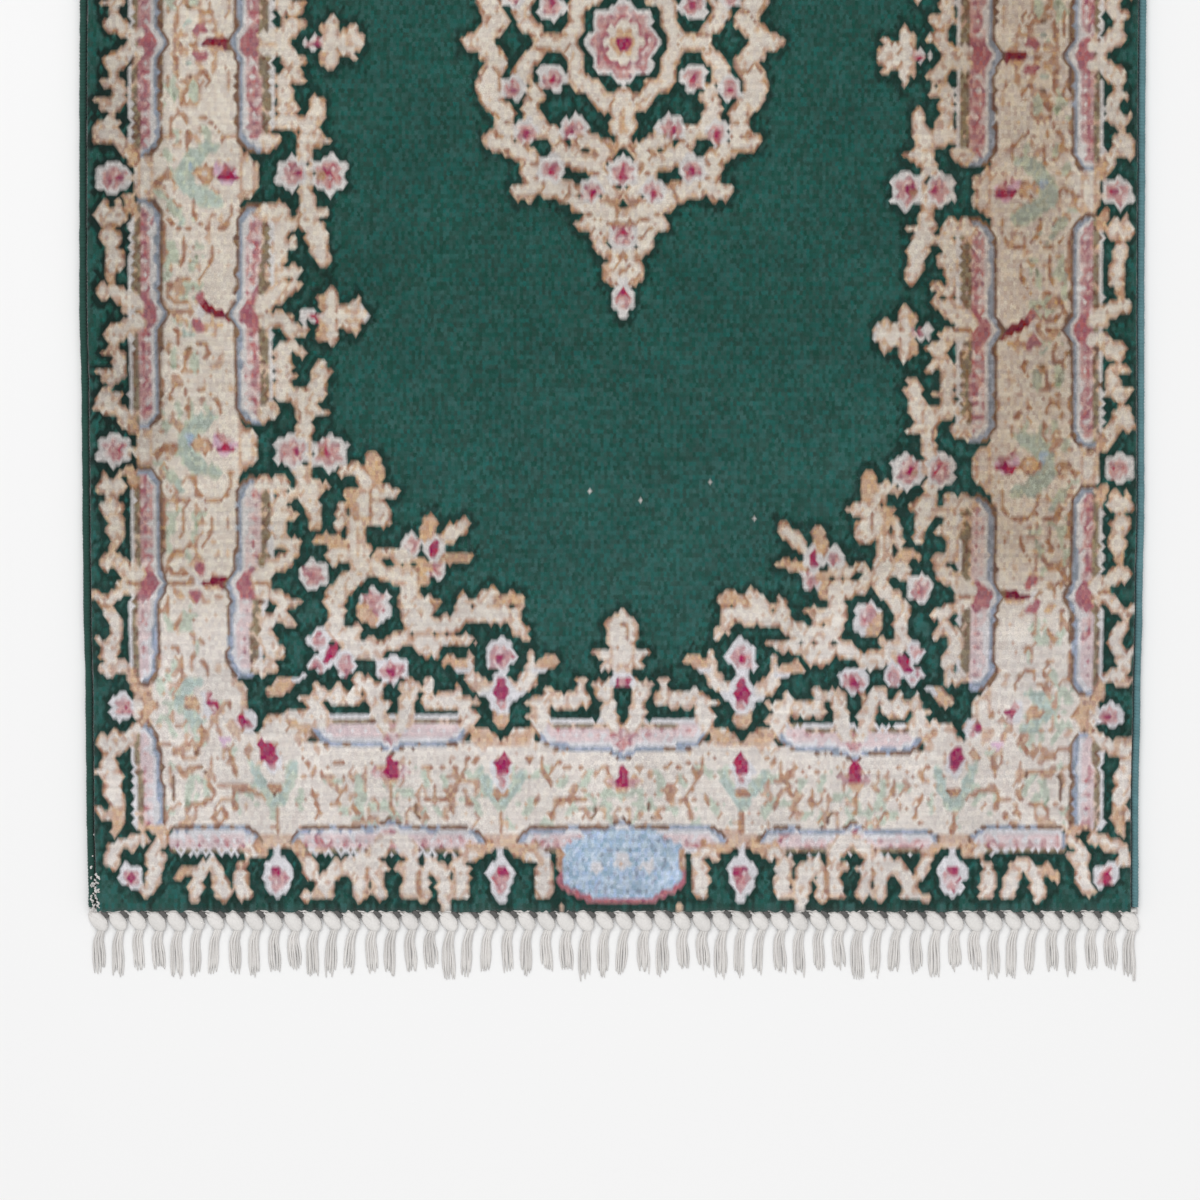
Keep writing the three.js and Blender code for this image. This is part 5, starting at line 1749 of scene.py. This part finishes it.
def yarn(name, rgb, spread, grain=1200.0, sheen=0.15):
    net = Net(name)
    place = net.node("ShaderNodeTexCoord").outputs["Object"]
    tint = net.attribute("tint").outputs["Color"]
    fine = net.noise(place, grain, 3.0, 0.6)
    slow = net.noise(place, 90.0, 2.0)
    shade = net.math("MULTIPLY", net.about_one(fine.outputs[0], spread), net.about_one(slow.outputs[0], 0.22))
    n = net.node("ShaderNodeVectorMath", operation="MULTIPLY")
    net.wire(tint, n.inputs[0])
    n.inputs[1].default_value = tuple(linear(rgb))
    net.wire(net.scaled(n.outputs[0], shade), net.bsdf.inputs["Base Color"])
    bump = net.node("ShaderNodeBump")
    bump.inputs["Strength"].default_value = 0.5
    bump.inputs["Distance"].default_value = 0.0003
    net.wire(fine.outputs[0], bump.inputs["Height"])
    net.wire(bump.outputs[0], net.bsdf.inputs["Normal"])
    cloth_finish(net, 0.92, sheen, 0.5, 0.2)
    return net.mat


# ------------------------------------------------------------------ the rug
chart = build_chart()
pile, classes = build_pile(chart)
back = build_back(chart)
cords = {s: build_selvedge(s) for s in ("left", "right")}
ends = {-1: build_fringe(-1), 1: build_fringe(1)}
frays = build_frays()

pile.data.materials.append(wool_pile())
back.data.materials.append(woven_back())
cords["left"].data.materials.append(yarn("overcast_green", (40, 74, 66), 0.6))
cords["right"].data.materials.append(yarn("overcast_teal", (92, 130, 136), 0.6))
cotton = yarn("undyed_cotton", (225, 222, 219), 0.28, 900.0, 0.1)
for ob in (*ends.values(), frays):
    ob.data.materials.append(cotton)

shown = (
    (pile, "pile_wool", "rug_body"), (back, "pile_wool", "rug_body"),
    (cords["left"], "selvedge_green", "selvedge_left"), (cords["right"], "selvedge_teal", "selvedge_right"),
    (frays, "fringe_cotton", "selvedge_left"),
    (ends[-1], "fringe_cotton", "fringe_bottom"), (ends[1], "fringe_cotton", "fringe_top"))
for ob, slot, node in shown:
    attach(ob, "root")
    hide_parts(node)

# ------------------------------------------------------------------ floor, light, camera
scene = bpy.context.scene
bpy.ops.mesh.primitive_plane_add(size=8.0, location=(0, 0, -0.0004))
floor = bpy.context.object
floor.name = "floor"
fm = Net("pale_floor")
fm.bsdf.inputs["Base Color"].default_value = (0.9, 0.9, 0.9, 1)
fm.bsdf.inputs["Roughness"].default_value = 0.9
floor.data.materials.append(fm.mat)

world = bpy.data.worlds.new("studio")
scene.world = world
world.use_nodes = True
bg = next(n for n in world.node_tree.nodes if n.type == "BACKGROUND")
bg.inputs["Color"].default_value = (1, 1, 1, 1)
bg.inputs["Strength"].default_value = 0.55


def soft_light(name, place, aim, size, power):
    data = bpy.data.lights.new(name, "AREA")
    data.shape = "SQUARE"
    data.size = size
    data.energy = power
    ob = bpy.data.objects.new(name, data)
    scene.collection.objects.link(ob)
    ob.location = place
    from mathutils import Vector
    ob.rotation_mode = "QUATERNION"
    ob.rotation_quaternion = (Vector(aim) - Vector(place)).to_track_quat("-Z", "Y")
    return ob


soft_light("overhead", (-0.6, 0.9, 3.0), (0, -0.1, 0), 2.4, 52.0)
soft_light("front", (0.9, -2.2, 2.2), (0, -0.2, 0), 1.6, 14.0)

cam_data = bpy.data.cameras.new("camera")
cam = bpy.data.objects.new("camera", cam_data)
scene.collection.objects.link(cam)
scene.camera = cam
HEIGHT = 2.4
cam.location = (-0.00746, -0.32029, HEIGHT + 0.008)
cam.rotation_euler = (0, 0, 0)
cam_data.sensor_width = 36.0
cam_data.lens = 36.0 * HEIGHT / 0.6888
cam_data.clip_start, cam_data.clip_end = 0.05, 50.0
scene.view_settings.view_transform = "Standard"
scene.view_settings.look = "None"
scene.view_settings.exposure = 0.0
scene.view_settings.gamma = 1.0
